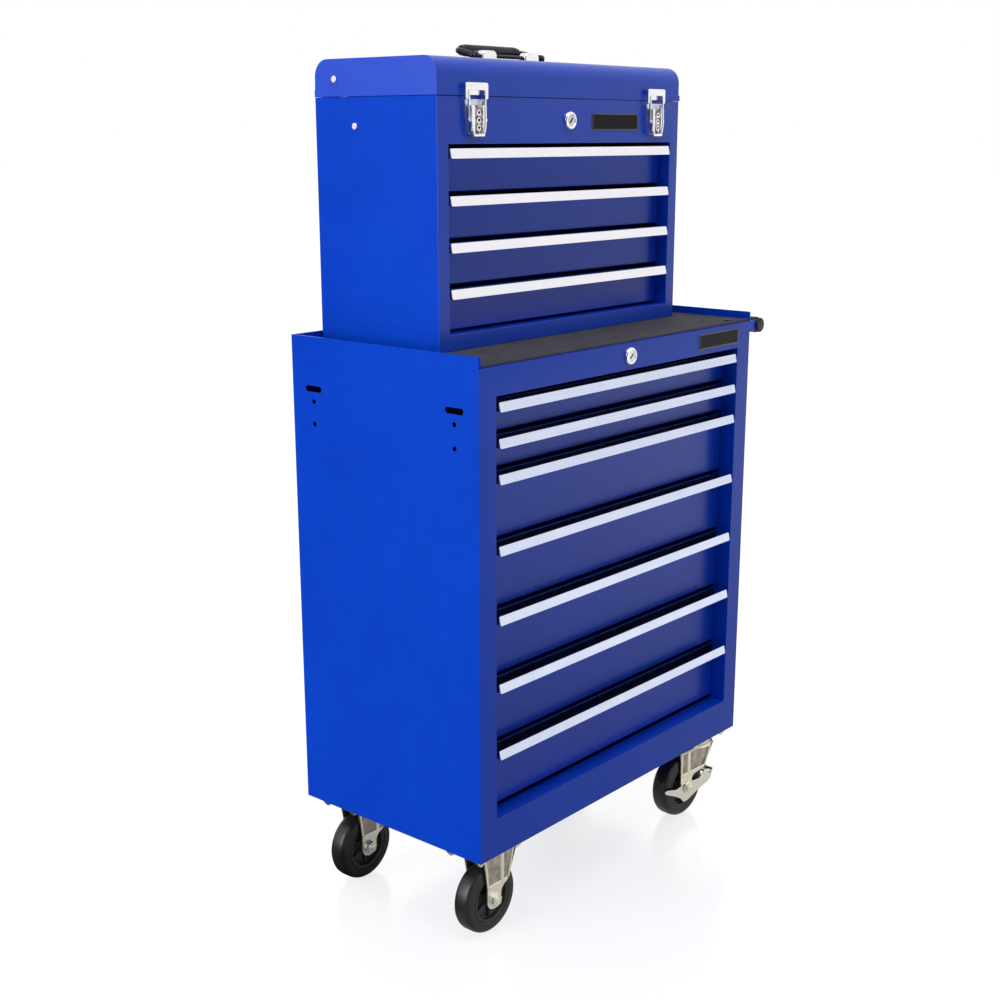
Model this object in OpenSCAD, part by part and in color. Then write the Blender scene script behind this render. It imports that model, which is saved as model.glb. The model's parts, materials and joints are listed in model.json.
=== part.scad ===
// Portable drawer chest standing on its matching roller cabinet.
// Millimetres. X runs across the front, Y to the back, Z up. Z is 0 on the floor.

/* [Cabinet] */
// Width of the cabinet body
cab_w = 616; // [560:1:760]
// Depth of the cabinet body
cab_d = 330; // [300:1:420]
// Height of the rail under the lowest cabinet drawer
cab_rail_h = 53; // [30:1:90]
// Width of each post beside the cabinet drawers
cab_post_w = 32.5; // [24:0.5:60]
// Height of the fascia above the cabinet drawers
cab_fascia_h = 38; // [36:0.5:80]
// Height of a deep cabinet drawer, pull to pull
deep_pitch = 91.5; // [60:0.5:140]
// Height of a shallow cabinet drawer, pull to pull
shallow_pitch = 45.5; // [42:0.5:60]
// How far the cabinet drawer fronts sit behind the posts
cab_recess = 24; // [20:0.5:32]
// Height of the side and back rims above the deck
rim_h = 13; // [8:1:25]
// Thickness of the folded rims
rim_t = 4; // [2:0.5:6]
// Thickness of the ribbed mat on the deck
mat_t = 3; // [2:0.5:5]

/* [Chest] */
// Width of the chest
chest_w = 520; // [440:1:560]
// Depth of the chest
chest_d = 214; // [190:1:260]
// Gap between the back of the chest and the back of the cabinet
chest_back_gap = 9; // [6:1:30]
// Height of the rail under the lowest chest drawer
chest_rail_h = 20.5; // [14:0.5:40]
// Width of each post beside the chest drawers
chest_post_w = 20; // [16:0.5:40]
// Height of the fascia above the chest drawers
chest_fascia_h = 57.5; // [52:0.5:90]
// Height of a chest drawer, pull to pull
chest_pitch = 57.5; // [45:0.5:80]
// How far the chest drawer fronts sit behind the posts
chest_recess = 18; // [17:0.5:26]
// Height of the lid
lid_h = 47; // [36:1:80]
// Radius of the lid's front and back edges
lid_round = 22; // [8:1:30]

/* [Sheet metal and drawers] */
// Thickness of the steel sheet
sheet = 1; // [0.8:0.1:1.5]
// Height of the aluminium pulls
pull_h = 12; // [10:0.5:16]
// How far the face of a pull leans out at its foot
pull_lean = 2.5; // [1:0.5:6]
// How far the foot of a pull stands out in front of the posts
pull_out = 2.5; // [0:0.5:4]
// Wall of the aluminium pulls
pull_wall = 1.8; // [1.4:0.1:2.5]
// Thickness of a drawer runner
runner_t = 4; // [3:0.5:6]
// Height of a drawer runner
runner_h = 18; // [12:1:24]
// Gap between a runner and its channel
runner_clear = 0.6; // [0.4:0.1:1.5]
// Gap round each drawer front
front_gap = 1.5; // [1:0.1:3]

/* [Casters] */
// Height of the casters
caster_h = 127; // [110:1:160]
// Diameter of the wheels
wheel_dia = 100; // [75:1:110]
// Width of the wheels
wheel_w = 28; // [20:1:36]
// Diameter of the axle bolts
axle_dia = 10; // [8:0.5:14]
// Radial clearance of the wheels on their axles
axle_clear = 0.08; // [0.02:0.01:0.1]
// How far the swivel wheels trail behind their kingpins
trail = 42; // [30:1:45]
// How far round the swivel forks stand from the front
swivel_turn = 3; // [0:1:45]
// Distance from the cabinet's end to the rigid wheels
rigid_in = 50; // [50:1:80]
// Distance from the cabinet's end to the kingpins
swivel_in = 56; // [50:1:90]
// Distance from the front to the front wheels
front_in = 38; // [36:1:60]
// Distance from the back to the back wheels
rear_in = 54; // [38:1:80]

/* [Push handle] */
// Distance from the cabinet's side to the middle of the push handle
bar_out = 60; // [45:1:80]
// Diameter of the push handle
bar_dia = 24; // [20:1:32]
// Height of the push handle above its slots
bar_rise = 42; // [30:1:60]
// Distance between the two handle brackets
bracket_pitch = 250; // [200:1:280]
// Distance from the front to the first bracket
bracket_in = 40; // [32:1:60]
// Distance from the deck down to the bracket slots
slot_drop = 56; // [50:1:90]
// Length of a bracket slot
slot_l = 30; // [20:1:36]
// Width of a bracket slot
slot_w = 8; // [6:0.5:10]
// Diameter of the bracket screw holes
hole_dia = 6.5; // [5:0.5:8]
// Distance from the slot down to the upper screw hole
hole_drop = 17; // [14:1:24]
// Distance between the two screw holes
hole_pitch = 30; // [20:1:40]

/* [Locks and latches] */
// Diameter of the lock faces
lock_dia = 24; // [18:1:26]
// How far the lock faces stand out
lock_out = 5; // [3:0.5:8]
// Distance from the middle of the chest to a latch
latch_x = 194; // [150:1:205]
// Width of a latch at the top
latch_w = 42; // [36:1:50]
// Length of the carry handle
carry_l = 148; // [144:1:200]
// Diameter of the carry handle's grip
carry_dia = 16; // [14:1:20]

/* [Hidden] */
$fn = 48;

blue = [0.02, 0.16, 0.72];
inside_blue = [0.03, 0.10, 0.45];
bare = [0.82, 0.83, 0.85];
zinc = [0.74, 0.72, 0.66];
black = [0.06, 0.06, 0.07];
grey = [0.28, 0.29, 0.33];

// Heights, worked up from the floor
cab_pitches = [deep_pitch, deep_pitch, deep_pitch, deep_pitch, deep_pitch, shallow_pitch, shallow_pitch];
chest_pitches = [chest_pitch, chest_pitch, chest_pitch, chest_pitch];
cab_foot_gap = 5;
cab_top_gap = 5.5;
chest_foot_gap = 1.5;
chest_top_gap = 2.5;
cab_z = caster_h;
cab_open_z = cab_z + cab_rail_h;
cab_open_h = cab_foot_gap + sum_to(cab_pitches, 7) + cab_top_gap;
deck_z = cab_open_z + cab_open_h + cab_fascia_h;
rim_z = deck_z + rim_h;
chest_z = deck_z + mat_t;
chest_open_z = chest_z + chest_rail_h;
chest_open_h = chest_foot_gap + sum_to(chest_pitches, 4) + chest_top_gap;
seam_z = chest_open_z + chest_open_h + chest_fascia_h;
lid_z = seam_z + lid_h;

// Faces of the two bodies
cab_front = -cab_d / 2;
cab_back = cab_d / 2;
chest_back = cab_back - chest_back_gap;
chest_front = chest_back - chest_d;
cab_open_w = cab_w - 2 * cab_post_w;
chest_open_w = chest_w - 2 * chest_post_w;

// Drawers
runner_room = 8;
return_extra = 3;
channel_wall = 1.5;
channel_setback = 13;
drawer_back_room = 20;
pull_drop = 1.2;
cab_pull_gap = 5;
chest_pull_gap = 3;

// Casters
axle_z = wheel_dia / 2;
plate_l = 92;
plate_w = 66;
plate_t = 3;
bolt_pitch_l = 74;
bolt_pitch_w = 51;
bolt_dia = 7;
fork_t = 2.5;
wheel_gap = 2;
head_dia = 56;
fork_in = wheel_w / 2 + wheel_gap;
kingpin_dia = 14;
crown_z = caster_h - 18;
pedal_t = 2;
pedal_gap = 0.5;
rigid_span = [-20, 44];
swivel_span = [-56, 23];
rigid_step = 31;
swivel_step = 51;

// Push handle
slot_z = deck_z - slot_drop;
bar_z = slot_z + bar_rise;
handle_reach = bar_out + bar_dia / 2;
bracket_t = 4;
bracket_w = 40;
arm_w = 17;

// Lid hardware
hinge_dia = 5;
hinge_pin_dia = 2.4;
hinge_out = hinge_dia / 2 + 0.4;
hinge_y = chest_back + hinge_out;
hinge_knuckle = 40;
bead_h = 8;
bead_out = 1;
lid_open = 95;
stay_t = 2;
stay_gap = 2.6;
stay_w = 16;
stay_slot_w = 7.2;
stay_rivet_r = 2.2;
stud_r = 2.5;
rivet_from_back = 72;
rivet_below_seam = 36;
stud_from_back = 36;
stud_above_seam = 22;
fit_clear = 0.08;

// Carry handle, folded back on the lid
carry_axis_y = (chest_front + chest_back) / 2;
carry_axis_z = lid_z + 9;
carry_back = 34;
carry_lift = 8;
carry_post_x = 45;
carry_post_w = 30;
carry_leg_t = 9;

// Latches, measured outwards from the chest's front face
latch_pivot_z = seam_z - 14;
latch_pivot_out = 5;
loop_pivot_z = seam_z - 29;
loop_pivot_out = 6.4;
latch_pin_dia = 2.4;
latch_foot_z = seam_z - 48;
loop_top_z = seam_z + 16;
loop_t = 1.8;
keeper_out = 4.8;

// Locks
lock_z = deck_z - cab_fascia_h / 2;
chest_lock_z = seam_z - 28;
rod_dia = 6;
crank_r = 10;
bar_lift = 8;
lock_bar_x = 12;
lock_bar_t = 2;
lock_bar_y = cab_back - 14;
deck_fold = 9;
cam_l = 20;
cam_w = 8;

// The model's origin is on the floor, below the middle of its outer box
row_shift = [-handle_reach / 2, lock_out / 2, 0];
function sum_to(list, n) = n <= 0 ? 0 : list[n - 1] + sum_to(list, n - 1);

// Box between two corners
module slab(x, y, z) {
    translate([x[0], y[0], z[0]]) cube([x[1] - x[0], y[1] - y[0], z[1] - z[0]]);
}

// A flat outline in Y and Z, extruded along X
module along_x(x) {
    translate([x[0], 0, 0]) rotate([90, 0, 90]) linear_extrude(x[1] - x[0]) children();
}

// A flat outline in X and Z, extruded along Y
module along_y(y) {
    translate([0, y[1], 0]) rotate([90, 0, 0]) linear_extrude(y[1] - y[0]) children();
}

// A flat outline in X and Y, extruded along Z
module along_z(z) {
    translate([0, 0, z[0]]) linear_extrude(z[1] - z[0]) children();
}

module box2d(a, b) {
    translate([a[0], b[0]]) square([a[1] - a[0], b[1] - b[0]]);
}

// Rectangle with four round corners
module round2d(a, b, r) {
    box2d([a[0] + r, a[1] - r], b);
    box2d(a, [b[0] + r, b[1] - r]);
    for (u = [a[0] + r, a[1] - r], v = [b[0] + r, b[1] - r]) translate([u, v]) circle(r);
}

// Rectangle with its two upper corners round
module arch2d(a, b, r) {
    box2d(a, [b[0], b[1] - r]);
    box2d([a[0] + r, a[1] - r], [b[0], b[1]]);
    for (u = [a[0] + r, a[1] - r]) translate([u, b[1] - r]) circle(r);
}

// Straight slot with round ends, along the first direction
module slot2d(l, w) {
    square([l - w, w], center = true);
    for (s = [-1, 1]) translate([s * (l - w) / 2, 0]) circle(w / 2);
}

module rod_x(x, r) {
    translate([x[0], 0, 0]) rotate([0, 90, 0]) cylinder(h = x[1] - x[0], r = r);
}

module rod_y(y, r) {
    translate([0, y[0], 0]) rotate([-90, 0, 0]) cylinder(h = y[1] - y[0], r = r);
}

module place() {
    translate(row_shift) children();
}

module both_sides() {
    for (s = [0, 1]) mirror([s, 0, 0]) children();
}

// ---- Shared forms of the two bodies ----

// Front sheet with its window and the returns folded in round it
module front_frame(w, z, open_w, open_z, open_h, front, recess) {
    deep = recess + return_extra;
    along_y([front, front + sheet]) difference() {
        box2d([-w / 2, w / 2], z);
        box2d([-open_w / 2, open_w / 2], [open_z, open_z + open_h]);
    }
    along_y([front + sheet, front + deep]) difference() {
        box2d([-open_w / 2 - sheet, open_w / 2 + sheet], [open_z - sheet, open_z + open_h + sheet]);
        box2d([-open_w / 2, open_w / 2], [open_z, open_z + open_h]);
    }
}

// One drawer: recessed front, tray, runners and the catch at its back
module drawer(open_w, slot_z, pitch, front, recess, back) {
    face = front + recess;
    half = open_w / 2 - front_gap;
    tray = open_w / 2 - runner_room;
    bottom = slot_z + front_gap;
    top = slot_z + pitch - front_gap;
    floor_z = bottom + 2;
    wall_z = top - 7;
    slab([-half, half], [face, face + sheet], [bottom, top - 2]);
    both_sides() {
        slab([half - sheet, half], [face, face + 10], [bottom, top - 2]);
        slab([tray - sheet, tray], [face, back], [floor_z, wall_z]);
        slab([tray, tray + runner_t], [face + 10, back], runner_span(slot_z, pitch));
        slab([tray - 6, tray], [face + 10, back], [wall_z - sheet, wall_z]);
    }
    slab([-half, half], [face, face + 10], [bottom, bottom + sheet]);
    slab([-tray, tray], [face, back], [floor_z, floor_z + sheet]);
    slab([-tray, tray], [face + 9, face + 10], [bottom, wall_z]);
    slab([-tray, tray], [back - sheet, back], [floor_z, wall_z]);
}

function runner_span(slot_z, pitch) =
    [slot_z + pitch / 2 - runner_h / 2 - 2, slot_z + pitch / 2 + runner_h / 2 - 2];

// Catch on the back of a cabinet drawer: a ledge with its edge turned down
function catch_z(i) = cab_slot_z(i) + cab_pitches[i] - front_gap - 7;
module drawer_catch(i) {
    back = cab_drawer_back;
    top = catch_z(i);
    slab([-9, 9], [back - sheet, back + 6], [top - sheet, top]);
    slab([-9, 9], [back + 5, back + 6], [top - 5, top]);
}

// Aluminium pull: a channel open at the top, whose face leans out at its foot
module pull(half, slot_z, pitch, front, recess) {
    face = front + recess;
    foot = front - pull_out;
    top = foot + pull_lean;
    z = slot_z + pitch - front_gap - pull_drop - pull_h;
    corner = 2;
    intersection() {
        along_x([-half, half]) polygon([
            [face, z], [foot, z], [top, z + pull_h], [top + pull_wall, z + pull_h],
            [foot + 2 * pull_wall, z + pull_wall],
            [face - pull_wall, z + pull_wall], [face - pull_wall, z + pull_h - 2], [face, z + pull_h - 2]
        ]);
        along_y([foot - 1, face + 1]) round2d([-half, half], [z, z + pull_h], corner);
    }
}

// Fixed channels that hold the runners, on two uprights a side
module slide_channels(open_w, body_w, pitches, slots_z, front, recess, back) {
    start = front + recess + channel_setback;
    web = open_w / 2 - runner_room + runner_t + runner_clear;
    both_sides() {
        for (i = [0 : len(pitches) - 1]) {
            span = runner_span(slots_z + sum_to(pitches, i), pitches[i]);
            low = span[0] - runner_clear - channel_wall;
            high = span[1] + runner_clear + channel_wall;
            slab([web, web + channel_wall], [start, back], [low, high]);
            for (z = [low, high - channel_wall])
                slab([web - runner_t, web], [start, back], [z, z + channel_wall]);
        }
        upright = [slots_z + 2, slots_z + sum_to(pitches, len(pitches)) - 6];
        for (y = [start + 20, back - 60])
            slab([web + channel_wall, body_w / 2 - sheet], [y, y + 22], upright);
    }
}

// ---- Cabinet ----

function cab_slot_z(i) = cab_open_z + cab_foot_gap + sum_to(cab_pitches, i);
function chest_slot_z(i) = chest_open_z + chest_foot_gap + sum_to(chest_pitches, i);
cab_drawer_back = cab_back - sheet - drawer_back_room;
chest_drawer_back = chest_back - sheet - 8;

function bracket_y(i) = cab_front + bracket_in + i * bracket_pitch;

// Slot and two screw holes of one handle bracket, as an outline in Y and Z
module bracket_cutouts(y) {
    translate([y, slot_z]) slot2d(slot_l, slot_w);
    for (j = [0, 1]) translate([y, slot_z - hole_drop - j * hole_pitch]) circle(hole_dia / 2);
}

// Sides and back in one folded sheet, with the rims round the deck
module cabinet_wrap() {
    color(blue) place() {
        both_sides() {
            difference() {
                union() {
                    slab([cab_w / 2 - sheet, cab_w / 2], [cab_front + sheet, cab_back], [cab_z, rim_z]);
                    slab([cab_w / 2 - rim_t, cab_w / 2], [cab_front, cab_back], [deck_z, rim_z]);
                }
                for (i = [0, 1])
                    along_x([cab_w / 2 - rim_t - 1, cab_w / 2 + 1]) bracket_cutouts(bracket_y(i));
            }
        }
        difference() {
            both_sides() slab([cab_w / 2 - 20, cab_w / 2 - sheet], [cab_front + sheet, cab_back - sheet],
                [cab_z, cab_z + sheet]);
            caster_bolts(cab_z - 1, sheet + 2, bolt_dia + 0.6);
        }
        for (i = [0, 3]) bar_guide(cab_slot_z(i) + cab_pitches[i] / 2);
        slab([-cab_w / 2, cab_w / 2], [cab_back - sheet, cab_back], [cab_z, rim_z]);
        slab([-cab_w / 2, cab_w / 2], [cab_back - rim_t, cab_back], [deck_z, rim_z]);
    }
}

// Strap welded to the back that keeps the locking bar upright
module bar_guide(z) {
    gap = 0.5;
    inner = lock_bar_x + gap;
    both_sides() slab([inner, inner + 6], [lock_bar_y - gap, cab_back - sheet], [z, z + 16]);
    slab([-inner - 6, inner + 6], [lock_bar_y - gap - sheet, lock_bar_y - gap], [z, z + 16]);
}

module cabinet_front_frame() {
    color(blue) place() difference() {
        front_frame(cab_w, [cab_z, deck_z], cab_open_w, cab_open_z, cab_open_h, cab_front, cab_recess);
        translate([0, 0, lock_z]) rod_y([cab_front - 1, cab_front + sheet + 1], lock_dia / 2 - 3);
    }
}

// Deck sheet between the rims, with a stiffening fold at the front
module cabinet_deck() {
    color(blue) place() {
        slab([-cab_w / 2 + sheet, cab_w / 2 - sheet], [cab_front + sheet, cab_back - sheet],
            [deck_z - sheet, deck_z]);
        slab([-cab_w / 2 + sheet, cab_w / 2 - sheet], [cab_front + sheet, cab_front + 2 * sheet],
            [deck_z - deck_fold, deck_z - sheet]);
    }
}

// Bottom tray with its edges turned up, drilled for the caster bolts
module cabinet_base_pan() {
    z = cab_z + sheet;
    x = cab_w / 2 - 2 * sheet;
    y = [cab_front + 2 * sheet, cab_back - 2 * sheet];
    color(inside_blue) place() difference() {
        union() {
            slab([-x, x], y, [z, z + sheet]);
            for (e = [y[0], y[1] - sheet]) slab([-x, x], [e, e + sheet], [z, z + 18]);
            both_sides() slab([x - sheet, x], y, [z, z + 18]);
        }
        caster_bolts(z - 1, sheet + 2, bolt_dia + 0.6);
    }
}

// Ribbed rubber mat: low ribs run across it
module deck_mat() {
    x = cab_w / 2 - rim_t - 1;
    y = [cab_front + 1.5, cab_back - rim_t - 1];
    rib_pitch = 7;
    rib_h = 0.8;
    rib_w = 3.5;
    color(grey) place() {
        slab([-x, x], y, [deck_z, deck_z + mat_t - rib_h]);
        for (e = [y[0] + 1 : rib_pitch : y[1] - rib_w])
            slab([-x, x], [e, e + rib_w], [deck_z + mat_t - rib_h, deck_z + mat_t]);
    }
}

module cabinet_slide_channels() {
    color(bare) place()
        slide_channels(cab_open_w, cab_w, cab_pitches, cab_slot_z(0),
            cab_front, cab_recess, cab_drawer_back);
}

module cabinet_drawer(i) {
    color(inside_blue) place() {
        drawer(cab_open_w, cab_slot_z(i), cab_pitches[i], cab_front, cab_recess, cab_drawer_back);
        drawer_catch(i);
    }
}

module cabinet_pull(i) {
    half = cab_open_w / 2 - cab_pull_gap;
    color(bare) place() pull(half, cab_slot_z(i), cab_pitches[i], cab_front, cab_recess);
}

// Two pressed brackets: a foot on the side panel, a tongue in the slot and a cheek out to the bar
function cheek_y(i) = bracket_y(i) + (i == 0 ? -bracket_w / 2 : bracket_w / 2 - bracket_t);
module handle_brackets() {
    low = slot_z - hole_drop - hole_pitch - 12;
    side = cab_w / 2;
    out = side + bar_out;
    arm_low = bar_z - arm_w / 2;
    color(blue) place() for (i = [0, 1]) {
        y = bracket_y(i);
        difference() {
            slab([side, side + 2], [y - bracket_w / 2, y + bracket_w / 2], [low, bar_z + arm_w / 2]);
            for (j = [0, 1]) translate([0, y, slot_z - hole_drop - j * hole_pitch])
                rod_x([side - 1, side + 3], hole_dia / 2);
        }
        slab([side - 6, side], [y - slot_l / 2 + 5, y + slot_l / 2 - 5], [slot_z - 3, slot_z + 3]);
        along_y([cheek_y(i), cheek_y(i) + bracket_t]) {
            box2d([side, out], [arm_low, bar_z + arm_w / 2]);
            polygon([[side, low], [side + 8, low], [side + 24, arm_low], [side, arm_low]]);
            translate([out, bar_z]) circle(arm_w / 2);
        }
    }
}

// Moulded bar held between the two cheeks, with a cap outside each of them
module handle_bar() {
    ends = [cheek_y(0) + bracket_t, cheek_y(1)];
    cap_t = 3.5;
    color(black) place() translate([cab_w / 2 + bar_out, 0, bar_z]) {
        rod_y([cheek_y(0) - cap_t, cheek_y(0)], bar_dia / 2 - 1);
        rod_y([cheek_y(1) + bracket_t, cheek_y(1) + bracket_t + cap_t], bar_dia / 2 - 1);
        rod_y([ends[0], ends[0] + 12], bar_dia / 2);
        rod_y([ends[0] + 12, ends[1] - 12], bar_dia / 2 - 0.8);
        rod_y([ends[1] - 12, ends[1]], bar_dia / 2);
    }
}

// Screws of the handle brackets and bolts of the casters
module cabinet_fasteners() {
    head_h = 2.5;
    color(zinc) place() {
        for (i = [0, 1], j = [0, 1])
            translate([0, bracket_y(i), slot_z - hole_drop - j * hole_pitch]) {
                rod_x([cab_w / 2 - 8, cab_w / 2 + 2], hole_dia / 2 - 0.25);
                rod_x([cab_w / 2 + 2, cab_w / 2 + 2 + head_h], hole_dia / 2 + 2);
            }
        caster_bolts(caster_h - plate_t - 8, plate_t + 2 * sheet + 8, bolt_dia - 0.4);
        caster_bolts(caster_h - plate_t - 5, 5, bolt_dia + 5, 6);
        caster_bolts(cab_z + 2 * sheet, 4, bolt_dia + 5, 6);
    }
}

// ---- Casters ----

rigid_x = -cab_w / 2 + rigid_in;
swivel_x = cab_w / 2 - swivel_in;
front_y = cab_front + front_in;
rear_y = cab_back - rear_in;

module caster_places() {
    for (x = [rigid_x, swivel_x], y = [front_y, rear_y]) translate([x, y, 0]) children();
}

module bolt_places() {
    for (x = [-1, 1], y = [-1, 1])
        translate([x * bolt_pitch_l / 2, y * bolt_pitch_w / 2, 0]) children();
}

// Upright rounds on every bolt centre of the four casters
module caster_bolts(z, h, d, sides = 48) {
    caster_places() bolt_places() translate([0, 0, z]) cylinder(h = h, d = d, $fn = sides);
}

module top_plate() {
    along_z([caster_h - plate_t, caster_h]) difference() {
        round2d([-plate_l / 2, plate_l / 2], [-plate_w / 2, plate_w / 2], 6);
        for (x = [-1, 1], y = [-1, 1])
            translate([x * bolt_pitch_l / 2, y * bolt_pitch_w / 2]) circle((bolt_dia + 0.6) / 2);
    }
}

// One leg of a fork as an outline in X and Z, broad at its crown and stepped in above the axle
module leg2d(reach, crown, span, step) {
    foot_r = 14;
    polygon([
        [span[0], crown], [span[1], crown], [span[1] - 2, crown - 10],
        [-reach + step, axle_z + 22], [-reach + step - 4, axle_z + 18], [-reach + 19, axle_z + 15],
        [-reach + foot_r, axle_z + 8], [-reach + foot_r, axle_z],
        [-reach - foot_r, axle_z], [-reach - foot_r, axle_z + 20], [span[0], crown - 10]
    ]);
    translate([-reach, axle_z]) circle(foot_r);
}

// Two legs, their crown and the axle bolt, with room for a pedal under its nuts
module fork(reach, crown, span, step, nut_gap = 0) {
    for (s = [-1, 1]) {
        inner = s > 0 ? fork_in : -fork_in - fork_t;
        along_y([inner, inner + fork_t]) leg2d(reach, crown, span, step);
    }
    along_z([crown - fork_t, crown]) round2d(span, [-fork_in - fork_t, fork_in + fork_t], 3);
    translate([-reach, 0, axle_z]) {
        nut = fork_in + fork_t + nut_gap;
        rod_y([-nut - 1, nut + 1], axle_dia / 2);
        for (s = [0, 1]) mirror([0, s, 0])
            translate([0, nut, 0]) rotate([-90, 0, 0]) cylinder(h = 6, d = axle_dia + 7, $fn = 6);
    }
}

// Top plates of all four casters: forks on the rigid pair, ball races and kingpins on the others
module caster_mounts() {
    race_h = caster_h - plate_t - crown_z - 1;
    color(zinc) place() {
        for (y = [front_y, rear_y]) {
            translate([rigid_x, y, 0]) {
                top_plate();
                fork(0, caster_h - plate_t, rigid_span, rigid_step);
            }
            translate([swivel_x, y, 0]) {
                top_plate();
                translate([0, 0, crown_z + 1]) cylinder(h = race_h, d = head_dia - 8);
                translate([0, 0, crown_z - fork_t - 2]) cylinder(h = fork_t + 4, d = kingpin_dia);
                translate([0, 0, crown_z - fork_t - 5]) cylinder(h = 4, d = kingpin_dia + 8, $fn = 6);
            }
        }
    }
}

module turned(y) {
    translate([swivel_x, y, 0]) rotate([0, 0, -swivel_turn]) children();
}

// Turning fork: hangs on the kingpin, with its raised race under the top plate
module swivel_fork(y) {
    color(zinc) place() turned(y) difference() {
        union() {
            fork(trail, crown_z, swivel_span, swivel_step, pedal_t + 2 * pedal_gap);
            translate([0, 0, crown_z - fork_t]) cylinder(h = fork_t, d = head_dia);
        }
        translate([0, 0, crown_z - fork_t - 1]) cylinder(h = fork_t + 2, d = kingpin_dia + 2 * fit_clear);
    }
}

// Wheel: rubber tyre on a moulded hub, as one turned outline
module wheel() {
    r = wheel_dia / 2;
    half = wheel_w / 2;
    hub_r = 12;
    rotate([-90, 0, 0]) rotate_extrude($fn = 72) {
        round_r = 7;
        box2d([r - 22, r - round_r], [-half, half]);
        box2d([r - round_r, r], [-half + round_r, half - round_r]);
        for (s = [-1, 1]) translate([r - round_r, s * (half - round_r)]) circle(round_r);
        box2d([hub_r, r - 22], [-4, 4]);
        box2d([axle_dia / 2 + axle_clear, hub_r], [-fork_in + 0.5, fork_in - 0.5]);
    }
}

module rigid_wheel(y) {
    color(black) place() translate([rigid_x, y, axle_z]) wheel();
}

module swivel_wheel(y) {
    color(black) place() turned(y) translate([-trail, 0, axle_z]) wheel();
}

// Brake pedal: two cheeks on the axle bolt, joined ahead of the wheel by the tread plate
module brake_pedal(y) {
    inner = fork_in + fork_t + pedal_gap;
    w = inner + pedal_t;
    near = wheel_dia / 2 + 4;
    color(zinc) place() turned(y) translate([-trail, 0, axle_z]) {
        for (side = [[inner, w], [-w, -inner]]) along_y(side) difference() {
            union() {
                circle(11);
                polygon([
                    [-55, 11], [-56, 5], [-30, -7], [-16, -15], [-9, -23], [2, -23], [22, -16],
                    [near, -8], [near + 8, -4], [near + 11, 2], [near + 9, 9], [near + 3, 12],
                    [near - 10, 12], [32, 4], [12, 6], [-28, 4]
                ]);
            }
            circle(axle_dia / 2 + axle_clear);
        }
        along_y([-w, w]) polygon([
            [near, 6], [near + 8, 4], [near + 14, 10], [near + 12.5, 11.5], [near + 7.5, 6.5], [near, 8.5]
        ]);
    }
}

// ---- Locks ----

// Lock plug: a domed face with its keyway, turning in the fascia
module lock_plug(front, z, rod_to) {
    face_r = lock_dia / 2;
    translate([0, front, z]) difference() {
        union() {
            rotate([90, 0, 0]) rotate_extrude() {
                box2d([0, face_r - 2], [0, lock_out]);
                box2d([0, face_r], [0, lock_out - 2]);
                translate([face_r - 2, lock_out - 2]) circle(2);
            }
            rod_y([0, 16], face_r - 3 - fit_clear);
            rod_y([16, rod_to], rod_dia / 2);
        }
        rotate([0, 45, 0]) slab([-1.1, 1.1], [-lock_out - 1, 3], [-5, 5]);
    }
}

// Cabinet lock: a long rod to the back, with a crank whose pin lifts the locking bar
module cabinet_lock() {
    color(bare) place() {
        lock_plug(cab_front, lock_z, lock_bar_y - 1 - cab_front);
        translate([0, lock_bar_y, lock_z]) {
            slab([0, crank_r + 3], [-4, -1], [-3, 3]);
            translate([crank_r, 0, 0]) rod_y([-4, lock_bar_t + 2], 2);
        }
    }
}

// Locking bar behind the cabinet drawers, with a finger under each drawer's catch
module cabinet_lock_bar() {
    y = [lock_bar_y, lock_bar_y + lock_bar_t];
    finger_y = cab_drawer_back + 2;
    low = catch_z(0) - 34;
    color(bare) place() {
        slab([-lock_bar_x, lock_bar_x], y, [low, lock_z - 6]);
        for (i = [0 : 6]) {
            z = catch_z(i) - 10;
            slab([-6, 6], [finger_y, y[0]], [z - 6, z - 4]);
            slab([-6, 6], [finger_y, finger_y + 2], [z - 6, z]);
        }
        difference() {
            slab([-7, crank_r + 7], y, [lock_z - 8, lock_z + 10]);
            slab([-3, crank_r + 3], [y[0] - 1, y[1] + 1], [lock_z - 2.6, lock_z + 6]);
        }
    }
}

// Chest lock: its cam stands up when unlocked and turns down over the lid's hook
module chest_lock() {
    color(bare) place() {
        lock_plug(chest_front, chest_lock_z, 19);
        translate([0, chest_front + 16, chest_lock_z])
            slab([-cam_w / 2, cam_w / 2], [0, 3], [-cam_w / 2, cam_l]);
    }
}

// ---- Chest ----

// Sides, back and floor of the chest
module chest_wrap() {
    y = [chest_front + sheet, chest_back];
    color(blue) place() {
        both_sides() slab([chest_w / 2 - sheet, chest_w / 2], y, [chest_z, seam_z]);
        slab([-chest_w / 2, chest_w / 2], [chest_back - sheet, chest_back], [chest_z, seam_z]);
        slab([-chest_w / 2, chest_w / 2], y, [chest_z, chest_z + sheet]);
    }
}

module chest_front_frame() {
    color(blue) place() difference() {
        union() {
            front_frame(chest_w, [chest_z, seam_z], chest_open_w, chest_open_z, chest_open_h,
                chest_front, chest_recess);
            slab([-chest_w / 2 + 16, chest_w / 2 - 16], [chest_front + sheet, chest_front + 9],
                [seam_z - sheet, seam_z]);
        }
        translate([0, 0, chest_lock_z]) rod_y([chest_front - 1, chest_front + sheet + 1], lock_dia / 2 - 3);
    }
}

// Floor of the compartment under the lid, notched at the ends for the lid stays
module chest_till_floor() {
    z = chest_open_z + chest_open_h + 2;
    x = chest_w / 2 - sheet;
    y = [chest_front + sheet, chest_back - sheet];
    color(inside_blue) place() difference() {
        union() {
            slab([-x, x], y, [z, z + sheet]);
            slab([-x, x], [y[1] - sheet, y[1]], [z, z + 10]);
            both_sides() slab([x - sheet, x], y, [z, z + 10]);
        }
        both_sides() slab([x - 7, x + 1], [chest_back - 114, chest_back - 58], [z - 1, z + 11]);
    }
}

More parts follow.
